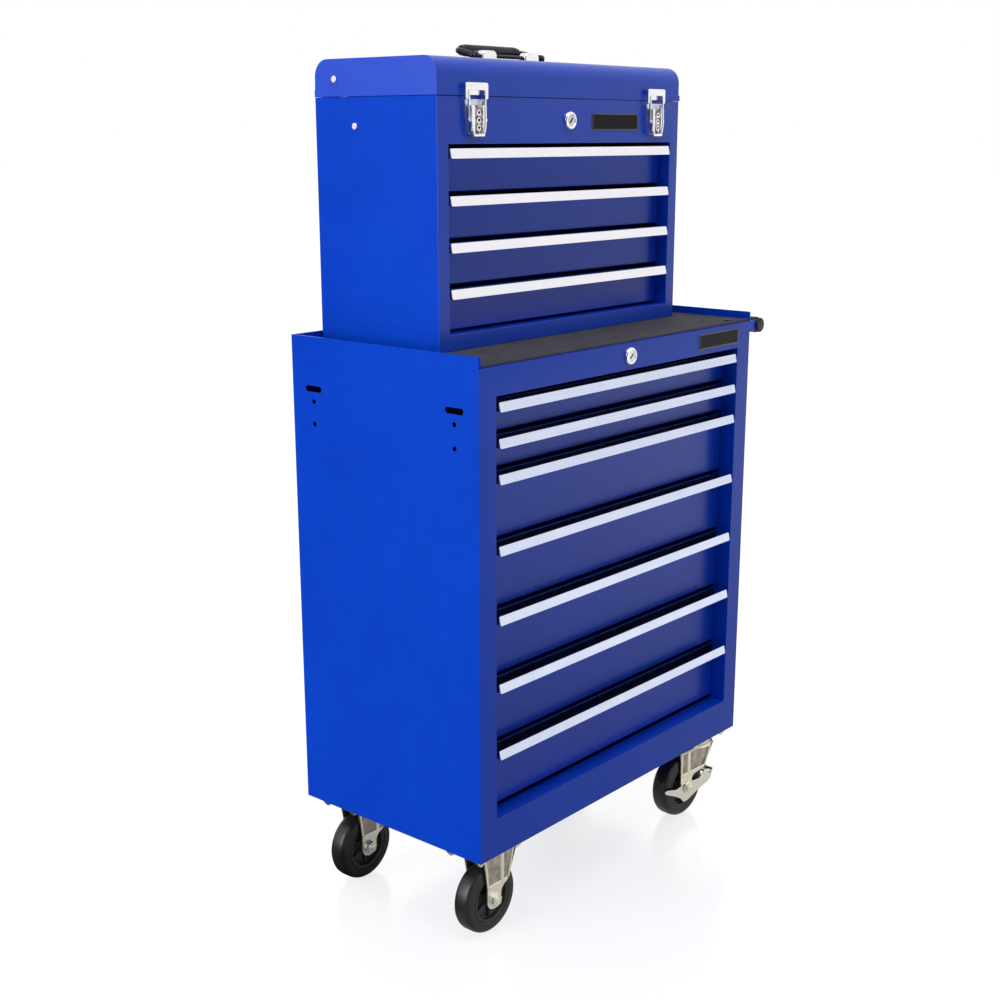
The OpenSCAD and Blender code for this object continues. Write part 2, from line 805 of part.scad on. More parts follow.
module chest_slide_channels() {
    color(bare) place()
        slide_channels(chest_open_w, chest_w, chest_pitches, chest_slot_z(0),
            chest_front, chest_recess, chest_drawer_back);
}

module chest_drawer(i) {
    color(inside_blue) place()
        drawer(chest_open_w, chest_slot_z(i), chest_pitches[i],
            chest_front, chest_recess, chest_drawer_back);
}

module chest_pull(i) {
    half = chest_open_w / 2 - chest_pull_gap;
    color(bare) place() pull(half, chest_slot_z(i), chest_pitches[i], chest_front, chest_recess);
}

// Rivets in the side walls that run in the slots of the lid stays
stay_x = chest_w / 2 - sheet - stay_gap - stay_t;
module stay_rivets() {
    color(bare) place() both_sides()
        translate([0, chest_back - rivet_from_back, seam_z - rivet_below_seam]) {
            rod_x([stay_x - 1, chest_w / 2 - sheet], stay_rivet_r);
            rod_x([stay_x - 2.2, stay_x - 0.6], stay_slot_w / 2 + 1.8);
            rod_x([chest_w / 2, chest_w / 2 + 1.2], stay_rivet_r + 2);
        }
}

// Lid: a shell with round front and back edges and a bead round its foot
module lid_shell() {
    y = [chest_front, chest_back];
    foot = seam_z + 0.4;
    difference() {
        union() {
            along_x([-chest_w / 2, chest_w / 2]) arch2d(y, [foot, lid_z], lid_round);
            slab([-chest_w / 2 - bead_out, chest_w / 2 + bead_out], [y[0] - bead_out, y[1]],
                [foot, foot + bead_h]);
        }
        along_x([-chest_w / 2 + sheet, chest_w / 2 - sheet])
            arch2d([y[0] + sheet, y[1] - sheet], [foot - 1, lid_z - sheet], lid_round - sheet);
    }
}

// All of the lid between its two end walls
module between_lid_ends() {
    x = chest_w / 2 - sheet;
    slab([-x, x], [chest_front - 5, chest_back + 5], [seam_z, lid_z + 5]);
}

module chest_lid() {
    color(blue) place() intersection() {
        lid_shell();
        between_lid_ends();
    }
}

// End walls of the lid, each with the stud of its stay
module lid_ends() {
    color(blue) place() {
        difference() {
            lid_shell();
            between_lid_ends();
        }
        both_sides() translate([0, chest_back - stud_from_back, seam_z + stud_above_seam]) {
            rod_x([stay_x - 1, chest_w / 2 + 1.2], stud_r);
            rod_x([stay_x - 2.2, stay_x - 0.6], stud_r + 2.5);
            rod_x([chest_w / 2, chest_w / 2 + 1.2], stud_r + 2);
        }
    }
}

// Hook welded inside the lid: the lock's cam turns down over its foot
module lid_hook() {
    far = cam_l + 4;
    foot = chest_lock_z - cam_w / 2 - 3.5;
    y = [chest_front + 14, chest_front + 21];
    color(blue) place() {
        slab([far - 10, far], [chest_front + sheet, y[1]], [seam_z + 4, seam_z + 5.5]);
        slab([far - 2.5, far], y, [foot, seam_z + 4]);
        slab([far - 14, far - 2.5], y, [foot, foot + 2.5]);
    }
}

// Knuckles of the lid hinge: the fixed leaf has the even ones, the moving leaf the odd ones
hinge_l = chest_w - 60;
hinge_count = floor(hinge_l / hinge_knuckle);
module knuckles(first, bore) {
    x0 = -hinge_count * hinge_knuckle / 2;
    for (i = [first : 2 : hinge_count - 1])
        translate([0, hinge_y, seam_z]) difference() {
            rod_x([x0 + i * hinge_knuckle + 0.3, x0 + (i + 1) * hinge_knuckle - 0.3], hinge_dia / 2);
            if (bore) rod_x([x0 - 1, -x0 + 1], hinge_pin_dia / 2 + fit_clear);
        }
}

module hinge_leaf_fixed() {
    x0 = -hinge_count * hinge_knuckle / 2;
    color(bare) place() {
        knuckles(0, false);
        translate([0, hinge_y, seam_z]) rod_x([x0 - 1, -x0 + 1], hinge_pin_dia / 2);
        for (i = [0 : 2 : hinge_count - 1])
            slab([x0 + i * hinge_knuckle + 0.3, x0 + (i + 1) * hinge_knuckle - 0.3],
                [chest_back, chest_back + 1], [seam_z - 14, seam_z - 0.5]);
    }
}

module hinge_leaf_moving() {
    x0 = -hinge_count * hinge_knuckle / 2;
    color(bare) place() {
        knuckles(1, true);
        for (i = [1 : 2 : hinge_count - 1])
            slab([x0 + i * hinge_knuckle + 0.3, x0 + (i + 1) * hinge_knuckle - 0.3],
                [chest_back, chest_back + 1], [seam_z + 0.5, seam_z + 14]);
    }
}

// ---- Lid stays ----
// Each hangs on a stud of the lid, and its curved slot follows the rivet in the side wall.
// Positions in Y and Z are measured from the hinge pin.
stud_at_rest = [-stud_from_back - hinge_out, stud_above_seam];
rivet_at = [-rivet_from_back - hinge_out, -rivet_below_seam];
function turn2(p, a) = [p[0] * cos(a) - p[1] * sin(a), p[0] * sin(a) + p[1] * cos(a)];
function stud_at(a) = turn2(stud_at_rest, -a);
function aim(a) = atan2(stud_at(a)[1] - rivet_at[1], stud_at(a)[0] - rivet_at[0]);
stay_ratio = 1 - (aim(0) - aim(lid_open)) / lid_open;

// Where the rivet stands in the stay, from the stud, when the lid is open by a
function slot_at(a) = turn2(rivet_at - stud_at(a), (1 - stay_ratio) * a);

// Centre of the circle through three points
function centre3(a, b, c) =
    let (p = b - a, q = c - a, d = 2 * (p[0] * q[1] - p[1] * q[0]), u = b * b - a * a, v = c * c - a * a)
    [(u * q[1] - v * p[1]) / d, (v * p[0] - u * q[0]) / d];

// Band of width w along the circle round o, between two points on it, with round ends
module band2d(o, p, q, w) {
    r = norm(p - o);
    reach = 2 * r;
    difference() {
        intersection() {
            translate(o) circle(r + w / 2);
            polygon([o, o + (p - o) * reach / r, o + (p + q - 2 * o) * reach / r, o + (q - o) * reach / r]);
        }
        translate(o) circle(r - w / 2);
    }
    for (e = [p, q]) translate(e) circle(w / 2);
}

module lid_stays() {
    near = slot_at(0);
    far = slot_at(lid_open);
    o = centre3(near, slot_at(lid_open / 2), far);
    color(bare) place() both_sides()
        translate([0, hinge_y + stud_at_rest[0], seam_z + stud_at_rest[1]])
        along_x([stay_x, stay_x + stay_t]) difference() {
            union() {
                circle(7);
                rotate(atan2(near[1], near[0])) box2d([0, norm(near)], [-5, 5]);
                band2d(o, near, far, stay_w);
            }
            circle(stud_r + fit_clear);
            band2d(o, near, far, stay_slot_w);
        }
}

// Chrome posts of the carry handle, and the keepers that the latches reach
module lid_fittings() {
    color(bare) place() {
        for (s = [-1, 1]) translate([s * carry_post_x, carry_axis_y, 0]) difference() {
            union() {
                along_x([-carry_post_w / 2, carry_post_w / 2])
                    arch2d([-7, 7], [lid_z, carry_axis_z + 7], 6.9);
                slab([-carry_post_w / 2 - 3, carry_post_w / 2 + 3], [-11, 11], [lid_z, lid_z + 1.2]);
            }
            translate([0, 0, carry_axis_z]) rod_x([-carry_post_w, carry_post_w], 2.5 + fit_clear);
        }
        for (s = [-1, 1]) translate([s * latch_x, chest_front, seam_z]) {
            slab([-16, 16], [-1.2, 0], [bead_h + 0.4, bead_h + 16]);
            slab([-15, 15], [-keeper_out, -1.2], [bead_h + 0.4, bead_h + 1.6]);
            slab([-15, 15], [-keeper_out, -keeper_out + 1.2], [bead_h + 0.4, bead_h + 5.5]);
        }
    }
}

// Steel bail of the carry handle: a rod through both posts and a leg near each end
module carry_bail() {
    leg_x = carry_l / 2 - carry_leg_t;
    color(black) place() translate([0, carry_axis_y, carry_axis_z]) {
        rod_x([-leg_x - carry_leg_t - 3, leg_x + carry_leg_t + 3], 2.5);
        both_sides() along_x([leg_x, leg_x + carry_leg_t]) {
            circle(5);
            translate([carry_back, carry_lift]) circle(carry_dia / 2 - 0.5);
            rotate(atan2(carry_lift, carry_back)) box2d([0, norm([carry_back, carry_lift])], [-4.5, 4.5]);
        }
    }
}

// Moulded grip between the legs of the bail, thicker in the middle
module carry_grip() {
    leg_x = carry_l / 2 - carry_leg_t;
    r = carry_dia / 2;
    color(black) place() translate([0, carry_axis_y + carry_back, carry_axis_z + carry_lift])
        rotate([0, 90, 0]) translate([0, 0, -leg_x]) rotate_extrude() {
            box2d([0, r - 1.5], [0, 2 * leg_x]);
            box2d([0, r], [4, 2 * leg_x - 4]);
        }
}

// ---- Latches ----

module latch_place(s) {
    translate([s * latch_x, chest_front, 0]) children();
}

// Base plate with two ears and the pin that the lever turns on
module latch_bases() {
    ear_x = latch_w / 2 - 9;
    color(bare) place() for (s = [-1, 1]) latch_place(s) {
        along_y([-1.2, 0]) polygon([
            [-latch_w / 2 + 2, seam_z - 4], [latch_w / 2 - 2, seam_z - 4],
            [latch_w / 2 - 8, latch_foot_z + 2], [-latch_w / 2 + 8, latch_foot_z + 2]
        ]);
        for (e = [-1, 1]) along_x(e > 0 ? [ear_x - 1.5, ear_x] : [-ear_x, -ear_x + 1.5]) {
            translate([-latch_pivot_out, latch_pivot_z]) circle(3.2);
            box2d([-latch_pivot_out, -1], [latch_pivot_z - 3.2, latch_pivot_z + 3.2]);
        }
        translate([0, -latch_pivot_out, latch_pivot_z])
            rod_x([-ear_x - 1.8, ear_x + 1.8], latch_pin_dia / 2);
    }
}

// Lever: a tapered channel with cheeks that turn on the base pin and carry the loop's pins
module latch_lever(s) {
    cheek_in = latch_w / 2 - 8.6;
    cheek = [cheek_in, cheek_in + 1.2];
    skin = loop_pivot_out + 3.4;
    color(bare) place() latch_place(s) {
        for (e = [0, 1]) mirror([e, 0, 0]) {
            difference() {
                along_x(cheek) polygon([
                    [-latch_pivot_out + 3, latch_pivot_z + 1.2], [-latch_pivot_out + 1.2, latch_pivot_z + 3],
                    [-skin + 0.2, latch_pivot_z + 3],
                    [-skin + 0.2, latch_foot_z + 6], [-latch_pivot_out + 1, latch_foot_z + 8]
                ]);
                translate([0, -latch_pivot_out, latch_pivot_z])
                    rod_x([0, latch_w], latch_pin_dia / 2 + fit_clear);
            }
            translate([0, -loop_pivot_out, loop_pivot_z])
                rod_x([cheek_in, cheek_in + 4.6], latch_pin_dia / 2);
        }
        difference() {
            along_y([-skin, -skin + 1.2]) {
                polygon([
                    [-cheek_in - 1.2, latch_pivot_z + 3], [cheek_in + 1.2, latch_pivot_z + 3],
                    [cheek_in + 1.2, loop_pivot_z - 6], [10, latch_foot_z], [-10, latch_foot_z],
                    [-cheek_in - 1.2, loop_pivot_z - 6]
                ]);
            }
            for (k = [0 : 2]) translate([0, 0, latch_foot_z + 10 + 9 * k])
                rod_y([-skin - 1, -skin + 3], 2.2);
        }
    }
}

// Loop: two legs from the lever's pins up past the seam, joined by the bar over the keeper
module latch_loop(s) {
    leg = [latch_w / 2 - 7, latch_w / 2 - 4.6];
    out = [-keeper_out - 0.5 - loop_t, -keeper_out - 0.5];
    color(bare) place() latch_place(s) {
        difference() {
            for (e = [0, 1]) mirror([e, 0, 0]) {
                along_x(leg) {
                    translate([-loop_pivot_out, loop_pivot_z]) circle(3);
                    box2d([-loop_pivot_out - 1.6, out[1]], [loop_pivot_z, loop_top_z - 9]);
                }
            }
            translate([0, -loop_pivot_out, loop_pivot_z])
                rod_x([-latch_w, latch_w], latch_pin_dia / 2 + fit_clear);
        }
        along_y(out) difference() {
            round2d([-latch_w / 2, latch_w / 2], [loop_top_z - 20, loop_top_z], 3);
            box2d([-latch_w / 2 + 6.5, latch_w / 2 - 6.5], [loop_top_z - 21, loop_top_z - 9]);
        }
    }
}

cabinet_wrap();
cabinet_front_frame();
cabinet_deck();
cabinet_base_pan();
deck_mat();
cabinet_slide_channels();
handle_brackets();
handle_bar();
cabinet_fasteners();
caster_mounts();
cabinet_lock();
cabinet_lock_bar();
cabinet_drawer(6);  // cabinet_drawer_1
cabinet_drawer(5);  // cabinet_drawer_2
cabinet_drawer(4);  // cabinet_drawer_3
cabinet_drawer(3);  // cabinet_drawer_4
cabinet_drawer(2);  // cabinet_drawer_5
cabinet_drawer(1);  // cabinet_drawer_6
cabinet_drawer(0);  // cabinet_drawer_7
cabinet_pull(6);  // cabinet_pull_1
cabinet_pull(5);  // cabinet_pull_2
cabinet_pull(4);  // cabinet_pull_3
cabinet_pull(3);  // cabinet_pull_4
cabinet_pull(2);  // cabinet_pull_5
cabinet_pull(1);  // cabinet_pull_6
cabinet_pull(0);  // cabinet_pull_7
rigid_wheel(front_y);  // wheel_front_left
rigid_wheel(rear_y);  // wheel_rear_left
swivel_wheel(front_y);  // wheel_front_right
swivel_wheel(rear_y);  // wheel_rear_right
swivel_fork(front_y);  // swivel_fork_front
swivel_fork(rear_y);  // swivel_fork_rear
brake_pedal(front_y);  // brake_pedal_front
brake_pedal(rear_y);  // brake_pedal_rear
chest_wrap();
chest_front_frame();
chest_till_floor();
chest_slide_channels();
stay_rivets();
hinge_leaf_fixed();
chest_lock();
chest_lid();
lid_ends();
hinge_leaf_moving();
lid_hook();
lid_stays();
lid_fittings();
carry_bail();
carry_grip();
latch_bases();
latch_lever(-1);  // latch_lever_left
latch_lever(1);  // latch_lever_right
latch_loop(-1);  // latch_loop_left
latch_loop(1);  // latch_loop_right
chest_drawer(3);  // chest_drawer_1
chest_drawer(2);  // chest_drawer_2
chest_drawer(1);  // chest_drawer_3
chest_drawer(0);  // chest_drawer_4
chest_pull(3);  // chest_pull_1
chest_pull(2);  // chest_pull_2
chest_pull(1);  // chest_pull_3
chest_pull(0);  // chest_pull_4
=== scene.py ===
# %% [markdown]
# # A drawer chest standing on its roller cabinet
# Both are folded from thin steel sheet, enamelled blue, with pressed aluminium pulls. The exact parts were
# drawn first in millimetres and packed as a fixed frame. This script gives them their rolled edges, pressings
# and finishes. It could model everything again, but the frame already holds every size, so each piece is
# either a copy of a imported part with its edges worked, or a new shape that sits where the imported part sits.

# %% Load the frame
import json
import math

import bmesh
import bpy
from mathutils import Matrix, Vector

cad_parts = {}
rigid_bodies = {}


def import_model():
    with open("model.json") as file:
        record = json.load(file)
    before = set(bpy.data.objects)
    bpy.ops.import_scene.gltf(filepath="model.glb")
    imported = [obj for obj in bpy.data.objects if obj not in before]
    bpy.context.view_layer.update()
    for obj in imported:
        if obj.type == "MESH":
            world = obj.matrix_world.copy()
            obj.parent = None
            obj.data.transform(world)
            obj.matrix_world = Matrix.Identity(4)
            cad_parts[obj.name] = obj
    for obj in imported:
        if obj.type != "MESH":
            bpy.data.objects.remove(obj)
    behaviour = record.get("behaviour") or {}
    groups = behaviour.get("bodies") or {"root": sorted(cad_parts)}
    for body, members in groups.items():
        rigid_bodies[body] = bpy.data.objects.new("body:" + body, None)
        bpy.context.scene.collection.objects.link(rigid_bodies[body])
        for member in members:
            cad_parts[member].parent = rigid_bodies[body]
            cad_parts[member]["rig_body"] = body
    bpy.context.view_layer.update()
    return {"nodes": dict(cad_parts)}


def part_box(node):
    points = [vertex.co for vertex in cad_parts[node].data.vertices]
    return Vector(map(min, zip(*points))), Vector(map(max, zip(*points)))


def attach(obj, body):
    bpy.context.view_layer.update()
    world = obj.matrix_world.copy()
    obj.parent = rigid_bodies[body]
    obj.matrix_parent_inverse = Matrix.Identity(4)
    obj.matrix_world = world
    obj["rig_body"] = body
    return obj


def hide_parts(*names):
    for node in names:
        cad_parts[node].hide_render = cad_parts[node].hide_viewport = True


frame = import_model()

# %% [markdown]
# ## Measuring in millimetres
# A sheet metal worker thinks in millimetres from the middle of the cabinet, while the frame is in metres from
# the middle of the whole outline. The cabinet's own box tells how far apart the two are. All pieces are
# drawn in the worker's millimetres and one matrix carries them over at the end.

# %% Millimetres of the cabinet to metres of the frame
MM = 0.001
cabinet_low, cabinet_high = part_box("cabinet_wrap")
MIDDLE = Vector(((cabinet_low.x + cabinet_high.x) / 2, (cabinet_low.y + cabinet_high.y) / 2, 0)) / MM
TO_FRAME = Matrix.Scale(MM, 4) @ Matrix.Translation(MIDDLE)
TO_CABINET = TO_FRAME.inverted()


def box_mm(node):
    """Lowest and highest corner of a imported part, in millimetres of the cabinet."""
    low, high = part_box(node)
    return TO_CABINET @ low, TO_CABINET @ high


print("cabinet middle in the frame, mm:", [round(v, 2) for v in MIDDLE])

# %% [markdown]
# ## Heights and faces that several pieces share
# The deck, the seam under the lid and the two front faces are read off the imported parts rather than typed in.
# If the parts are ever packed at another size, the new shapes follow them.

# %% Shared levels
cabinet_front = box_mm("cabinet_front_frame")[0].y
deck_top = box_mm("deck_mat")[1].z
side_out = box_mm("cabinet_wrap")[1].x
body_foot = box_mm("cabinet_wrap")[0].z
chest_side, chest_back, seam = box_mm("chest_wrap")[1]
chest_front = box_mm("chest_front_frame")[0].y
lid_top = box_mm("chest_lid")[1].z
print("deck", round(deck_top, 1), "seam", round(seam, 1), "lid top", round(lid_top, 1))

# %% [markdown]
# ## The camera
# It stands to the left of the cabinet, a little below the lid and three quarters towards the front, tipped
# down so that the casters come into the frame. A camera can be aimed with a constraint, but three unit
# vectors for right, up and back say exactly how it stands and stay the same on every run.

# %% Camera
def add_object(name, data):
    """Make an object and put it in the scene."""
    made = bpy.data.objects.new(name, data)
    bpy.context.scene.collection.objects.link(made)
    return made


right = Vector((0.64540, -0.76385, 0.0))
up = Vector((0.19539, 0.16509, 0.96675))
back = Vector((-0.73844, -0.62393, 0.25580))
camera = add_object("camera", bpy.data.cameras.new("camera"))
stand = Matrix((right, up, back)).transposed().to_4x4()
stand.translation = Vector((-1.6661, -1.3229, 1.0480))
camera.matrix_world = stand
camera.data.lens = 53.58
camera.data.sensor_width = 36
camera.data.shift_x = -0.0064
camera.data.shift_y = 0.0266
bpy.context.scene.camera = camera
print("camera looks along", [round(v, 3) for v in -back])

# %% [markdown]
# ## Sheet shapes: an outline pulled to a thickness
# Most parts here are blanks cut from sheet or bar, so the first tool fills an outline, rounds its corners with
# a vertex bevel and extrudes it. Typing every vertex of both sides would also work, but the extrude keeps the
# walls square and closed by itself.

# %% Outline tools
AXES = {
    "x": lambda u, v, w: Vector((w, u, v)),
    "y": lambda u, v, w: Vector((u, w, v)),
    "z": lambda u, v, w: Vector((u, v, w)),
}


def only(kind, geometry):
    """The vertices, edges or faces in what an operator returned."""
    return [g for g in geometry if isinstance(g, kind)]


def bevel(bm, parts, width, steps=2, affect="EDGES", clamp=True):
    """Round these edges, or these corners of an outline."""
    bmesh.ops.bevel(bm, geom=list(parts), offset=width, offset_type="OFFSET", segments=steps, profile=0.5,
                    affect=affect, material=-1, clamp_overlap=clamp)


def blank(bm, axis, outline, low, high, corner=0.0, steps=4, which=None):
    """Fill an outline, round its corners and pull it from low to high along the axis."""
    at = AXES[axis]
    points = [bm.verts.new(at(u, v, low)) for u, v in outline]
    others = set(bm.faces)
    bm.faces.new(points)
    if corner:
        rounded = points if which is None else [points[i] for i in which]
        bevel(bm, rounded, corner, steps, "VERTICES")
    cut = [f for f in bm.faces if f not in others]
    pulled = bmesh.ops.extrude_face_region(bm, geom=cut)["geom"]
    bmesh.ops.translate(bm, vec=at(0, 0, high - low), verts=only(bmesh.types.BMVert, pulled))
    return only(bmesh.types.BMFace, pulled)[0]


def slab(bm, x, y, z):
    """A block between two values on each axis."""
    size = Matrix.Diagonal((x[1] - x[0], y[1] - y[0], z[1] - z[0], 1))
    middle = Vector(((x[0] + x[1]) / 2, (y[0] + y[1]) / 2, (z[0] + z[1]) / 2))
    bmesh.ops.create_cube(bm, size=1, matrix=Matrix.Translation(middle) @ size)


def rectangle(u, v):
    """The four corners of an upright rectangle, as an outline."""
    return [(u[0], v[0]), (u[1], v[0]), (u[1], v[1]), (u[0], v[1])]


trial = bmesh.new()
blank(trial, "y", rectangle((0, 40), (0, 20)), 0, 3, corner=4)
print("a trial blank has", len(trial.faces), "faces, closed:", all(e.is_manifold for e in trial.edges))
trial.free()

# %% [markdown]
# ## Turned shapes
# Wheels, rods, rivet heads and lock faces are turned on a lathe in the real shop. Here an outline of radius
# and distance is spun round its axis in the same way. A cylinder with added edge loops could be pushed into
# shape too, but the spun outline reads like the drawing of the part.

# %% Lathe tools
def lathe(bm, axis, centre, profile, steps=40, closed=False):
    """Spin an outline of (radius, distance along the axis) round a line through centre."""
    at = AXES[axis]
    middle = at(centre[0], centre[1], 0)
    before = set(bm.verts)
    points = [bm.verts.new(middle + at(r, 0, w)) for r, w in profile]
    pairs = list(zip(points, points[1:])) + ([(points[-1], points[0])] if closed else [])
    line = [bm.edges.new(pair) for pair in pairs]
    bmesh.ops.spin(bm, geom=points + line, cent=middle, axis=at(0, 0, 1), angle=math.tau,
                   steps=steps, use_merge=True, use_duplicate=False)
    bmesh.ops.remove_doubles(bm, verts=[v for v in bm.verts if v not in before], dist=0.0005)


def rod(bm, axis, centre, low, high, radius, edge=0.4, steps=28):
    """A round bar with its two ends broken by a small edge."""
    lathe(bm, axis, centre, [(0, low), (radius - edge, low), (radius, low + edge),
                             (radius, high - edge), (radius - edge, high), (0, high)], steps)


def dome(bm, axis, centre, foot, top, radius, steps=28):
    """A rivet head: round foot, low curved crown."""
    rise = top - foot
    lathe(bm, axis, centre, [(0, foot), (radius, foot), (radius, foot + rise * 0.3),
                             (radius * 0.86, foot + rise * 0.7), (radius * 0.5, foot + rise * 0.95),
                             (0, top)], steps)


def hexagon(bm, axis, centre, low, high, across):
    """A nut or bolt head, with its six corners broken at the outer end."""
    radius = across / math.sqrt(3)
    outline = [(centre[0] + radius * math.cos(math.radians(60 * k + 15)),
                centre[1] + radius * math.sin(math.radians(60 * k + 15))) for k in range(6)]
    face = blank(bm, axis, outline, low, high)
    bevel(bm, face.edges, 0.7)


def add_shape(bm, other):
    """Take another shape's faces into this one."""
    carrier = bpy.data.meshes.new("carrier")
    other.to_mesh(carrier)
    other.free()
    bm.from_mesh(carrier)
    bpy.data.meshes.remove(carrier)


trial = bmesh.new()
rod(trial, "y", (0, 0), 0, 10, 4)
print("a trial rod is closed:", all(e.is_manifold for e in trial.edges))
trial.free()

# %% [markdown]
# ## Softened edges
# No edge of folded or punched sheet is knife sharp: it catches a thin line of light. A Bevel modifier would
# round everything alike, inner corners too. Choosing the outer edges by their angle and bevelling those in the
# mesh leaves the inner folds crisp and allows a wider radius where the sheet is bent.

# %% Edge tools
def outer_edges(bm, sharp=40, where=None):
    """Edges that stand out from the shape by more than sharp degrees."""
    bm.normal_update()
    chosen = [e for e in bm.edges if e.is_manifold and e.is_convex and
              e.calc_face_angle() > math.radians(sharp)]
    return [e for e in chosen if where is None or where((e.verts[0].co + e.verts[1].co) / 2, e)]


def soften(bm, width, steps=2, sharp=40, where=None, clamp=True):
    """Round the outer edges. where picks them by their middle point."""
    edges = outer_edges(bm, sharp, where)
    bevel(bm, edges, width, steps, clamp=clamp)
    return len(edges)


def press_in(bm, face, margin, wall, depth):
    """Leave a margin round a face and push the rest in behind a sloping wall."""
    bmesh.ops.inset_region(bm, faces=[face], thickness=margin, depth=0, use_even_offset=True)
    bmesh.ops.inset_region(bm, faces=[face], thickness=wall, depth=-depth, use_even_offset=True)


def cut_through(bm, parts, point, normal):
    """Divide faces, with their edges and corners, along a plane."""
    bmesh.ops.bisect_plane(bm, geom=parts, dist=1e-4, plane_co=point, plane_no=normal)


def whole(bm):
    """All faces, edges and corners of a shape."""
    return list(bm.verts) + list(bm.edges) + list(bm.faces)


def paint_faces(bm, index, where):
    """Give the faces that where picks another of the piece's finishes."""
    for face in bm.faces:
        if where(face.calc_center_median()):
            face.material_index = index


print("edge tools ready")

# %% [markdown]
# ## Putting a finished piece in its place
# A finished piece keeps its object at the origin and carries its place in its mesh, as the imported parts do.
# Normals are weighted by face area, so a wide panel stays flat in the light right up to its rolled edge. The
# same look could be had with many supporting loops, at ten times the faces.


def finish_piece(name, bm, body, finishes, stands_for=(), smooth=50, turned=True):
    """Turn faces outwards, move to the frame and hand the piece to its body."""
    if turned:
        bmesh.ops.recalc_face_normals(bm, faces=bm.faces)
    bmesh.ops.transform(bm, matrix=TO_FRAME, verts=bm.verts)
    mesh = bpy.data.meshes.new(name)
    bm.to_mesh(mesh)
    bm.free()
    if "custom_normal" in mesh.attributes:
        mesh.attributes.remove(mesh.attributes["custom_normal"])
    mesh.shade_smooth()
    mesh.set_sharp_from_angle(angle=math.radians(smooth))
    for finish in finishes:
        mesh.materials.append(finish)
    piece = add_object(name, mesh)
    even = piece.modifiers.new("even shading", "WEIGHTED_NORMAL")
    even.keep_sharp = True
    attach(piece, body)
    if stands_for:
        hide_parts(*stands_for)


def copy_part(node):
    """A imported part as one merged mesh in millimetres, its flat faces joined up."""
    bm = bmesh.new()
    bm.from_mesh(frame["nodes"][node].data)
    bmesh.ops.transform(bm, matrix=TO_CABINET, verts=bm.verts)
    bmesh.ops.remove_doubles(bm, verts=bm.verts, dist=0.002)
    bmesh.ops.dissolve_limit(bm, angle_limit=math.radians(0.4), verts=bm.verts, edges=bm.edges)
    for face in bm.faces:
        face.material_index = 0
    bm.normal_update()
    return bm


def show_part(node, bm, finishes, **how):
    """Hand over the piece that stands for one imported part, on the same body."""
    finish_piece(node + "_finished", bm, frame["nodes"][node]["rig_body"], finishes, [node], **how)


def soft_part(node, finish, width, steps=2):
    """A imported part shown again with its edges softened."""
    bm = copy_part(node)
    print(node, "edges", soften(bm, width, steps, clamp=False))
    show_part(node, bm, [finish], turned=False)


print("piece tools ready")

# %% [markdown]
# ## Finishes as sums
# A finish is worked out with nodes. Written as nodes and links it is hard to read, so two small classes let
# it be written as sums: a Reading is one node's output, and adding or multiplying Readings adds the Math
# nodes. Any other node comes from one method that takes its kind, its settings and its values.

# %% Node tools
class Reading:
    """A node's output that can stand in a sum."""

    def __init__(self, finish, socket):
        self.finish, self.socket = finish, socket

    def worked(self, operation, *values):
        return self.finish.node("Math", {"operation": operation}, dict(enumerate(values)))

    def __add__(self, other):
        return self.worked("ADD", self, other)

    def __sub__(self, other):
        return self.worked("SUBTRACT", self, other)

    def __mul__(self, other):
        return self.worked("MULTIPLY", self, other)

    def __truediv__(self, other):
        return self.worked("DIVIDE", self, other)

    def __radd__(self, other):
        return self.worked("ADD", other, self)

    def __rsub__(self, other):
        return self.worked("SUBTRACT", other, self)

    def __rmul__(self, other):
        return self.worked("MULTIPLY", other, self)

    def __rtruediv__(self, other):
        return self.worked("DIVIDE", other, self)

    def larger(self, other):
        return self.worked("MAXIMUM", self, other)

    def limited(self):
        """Held between 0 and 1."""
        return self.finish.node("Clamp", {}, {0: self})


class Nodes:
    """A node tree that is written as sums."""

    def __init__(self, tree):
        self.tree = tree

    def node(self, kind, settings=None, values=None, out=0):
        """Make a node: its settings first, then the values or links of its sockets."""
        made = self.tree.nodes.new("ShaderNode" + kind)
        for name, value in (settings or {}).items():
            if name == "stops":
                self.set_stops(made.color_ramp, value)
            else:
                setattr(made, name, value)
        for name, value in (values or {}).items():
            self.feed(made.inputs[name], value)
        return Reading(self, made.outputs[out])

    def set_stops(self, ramp, stops):
        while len(ramp.elements) < len(stops):
            ramp.elements.new(1)
        for element, (place, level) in zip(ramp.elements, stops):
            element.position = place
            element.color = (level, level, level, 1)

    def feed(self, socket, value):
        """Link a reading, or set a value. A colour gets its alpha here."""
        if isinstance(value, Reading):
            self.tree.links.new(value.socket, socket)
        else:
            socket.default_value = (*value, 1) if socket.type == "RGBA" else value

    def rays(self):
        """Whether a ray comes from the camera, a polished surface or glass."""
        return [self.node("LightPath", out=f"Is {kind} Ray") for kind in ("Camera", "Glossy", "Transmission")]


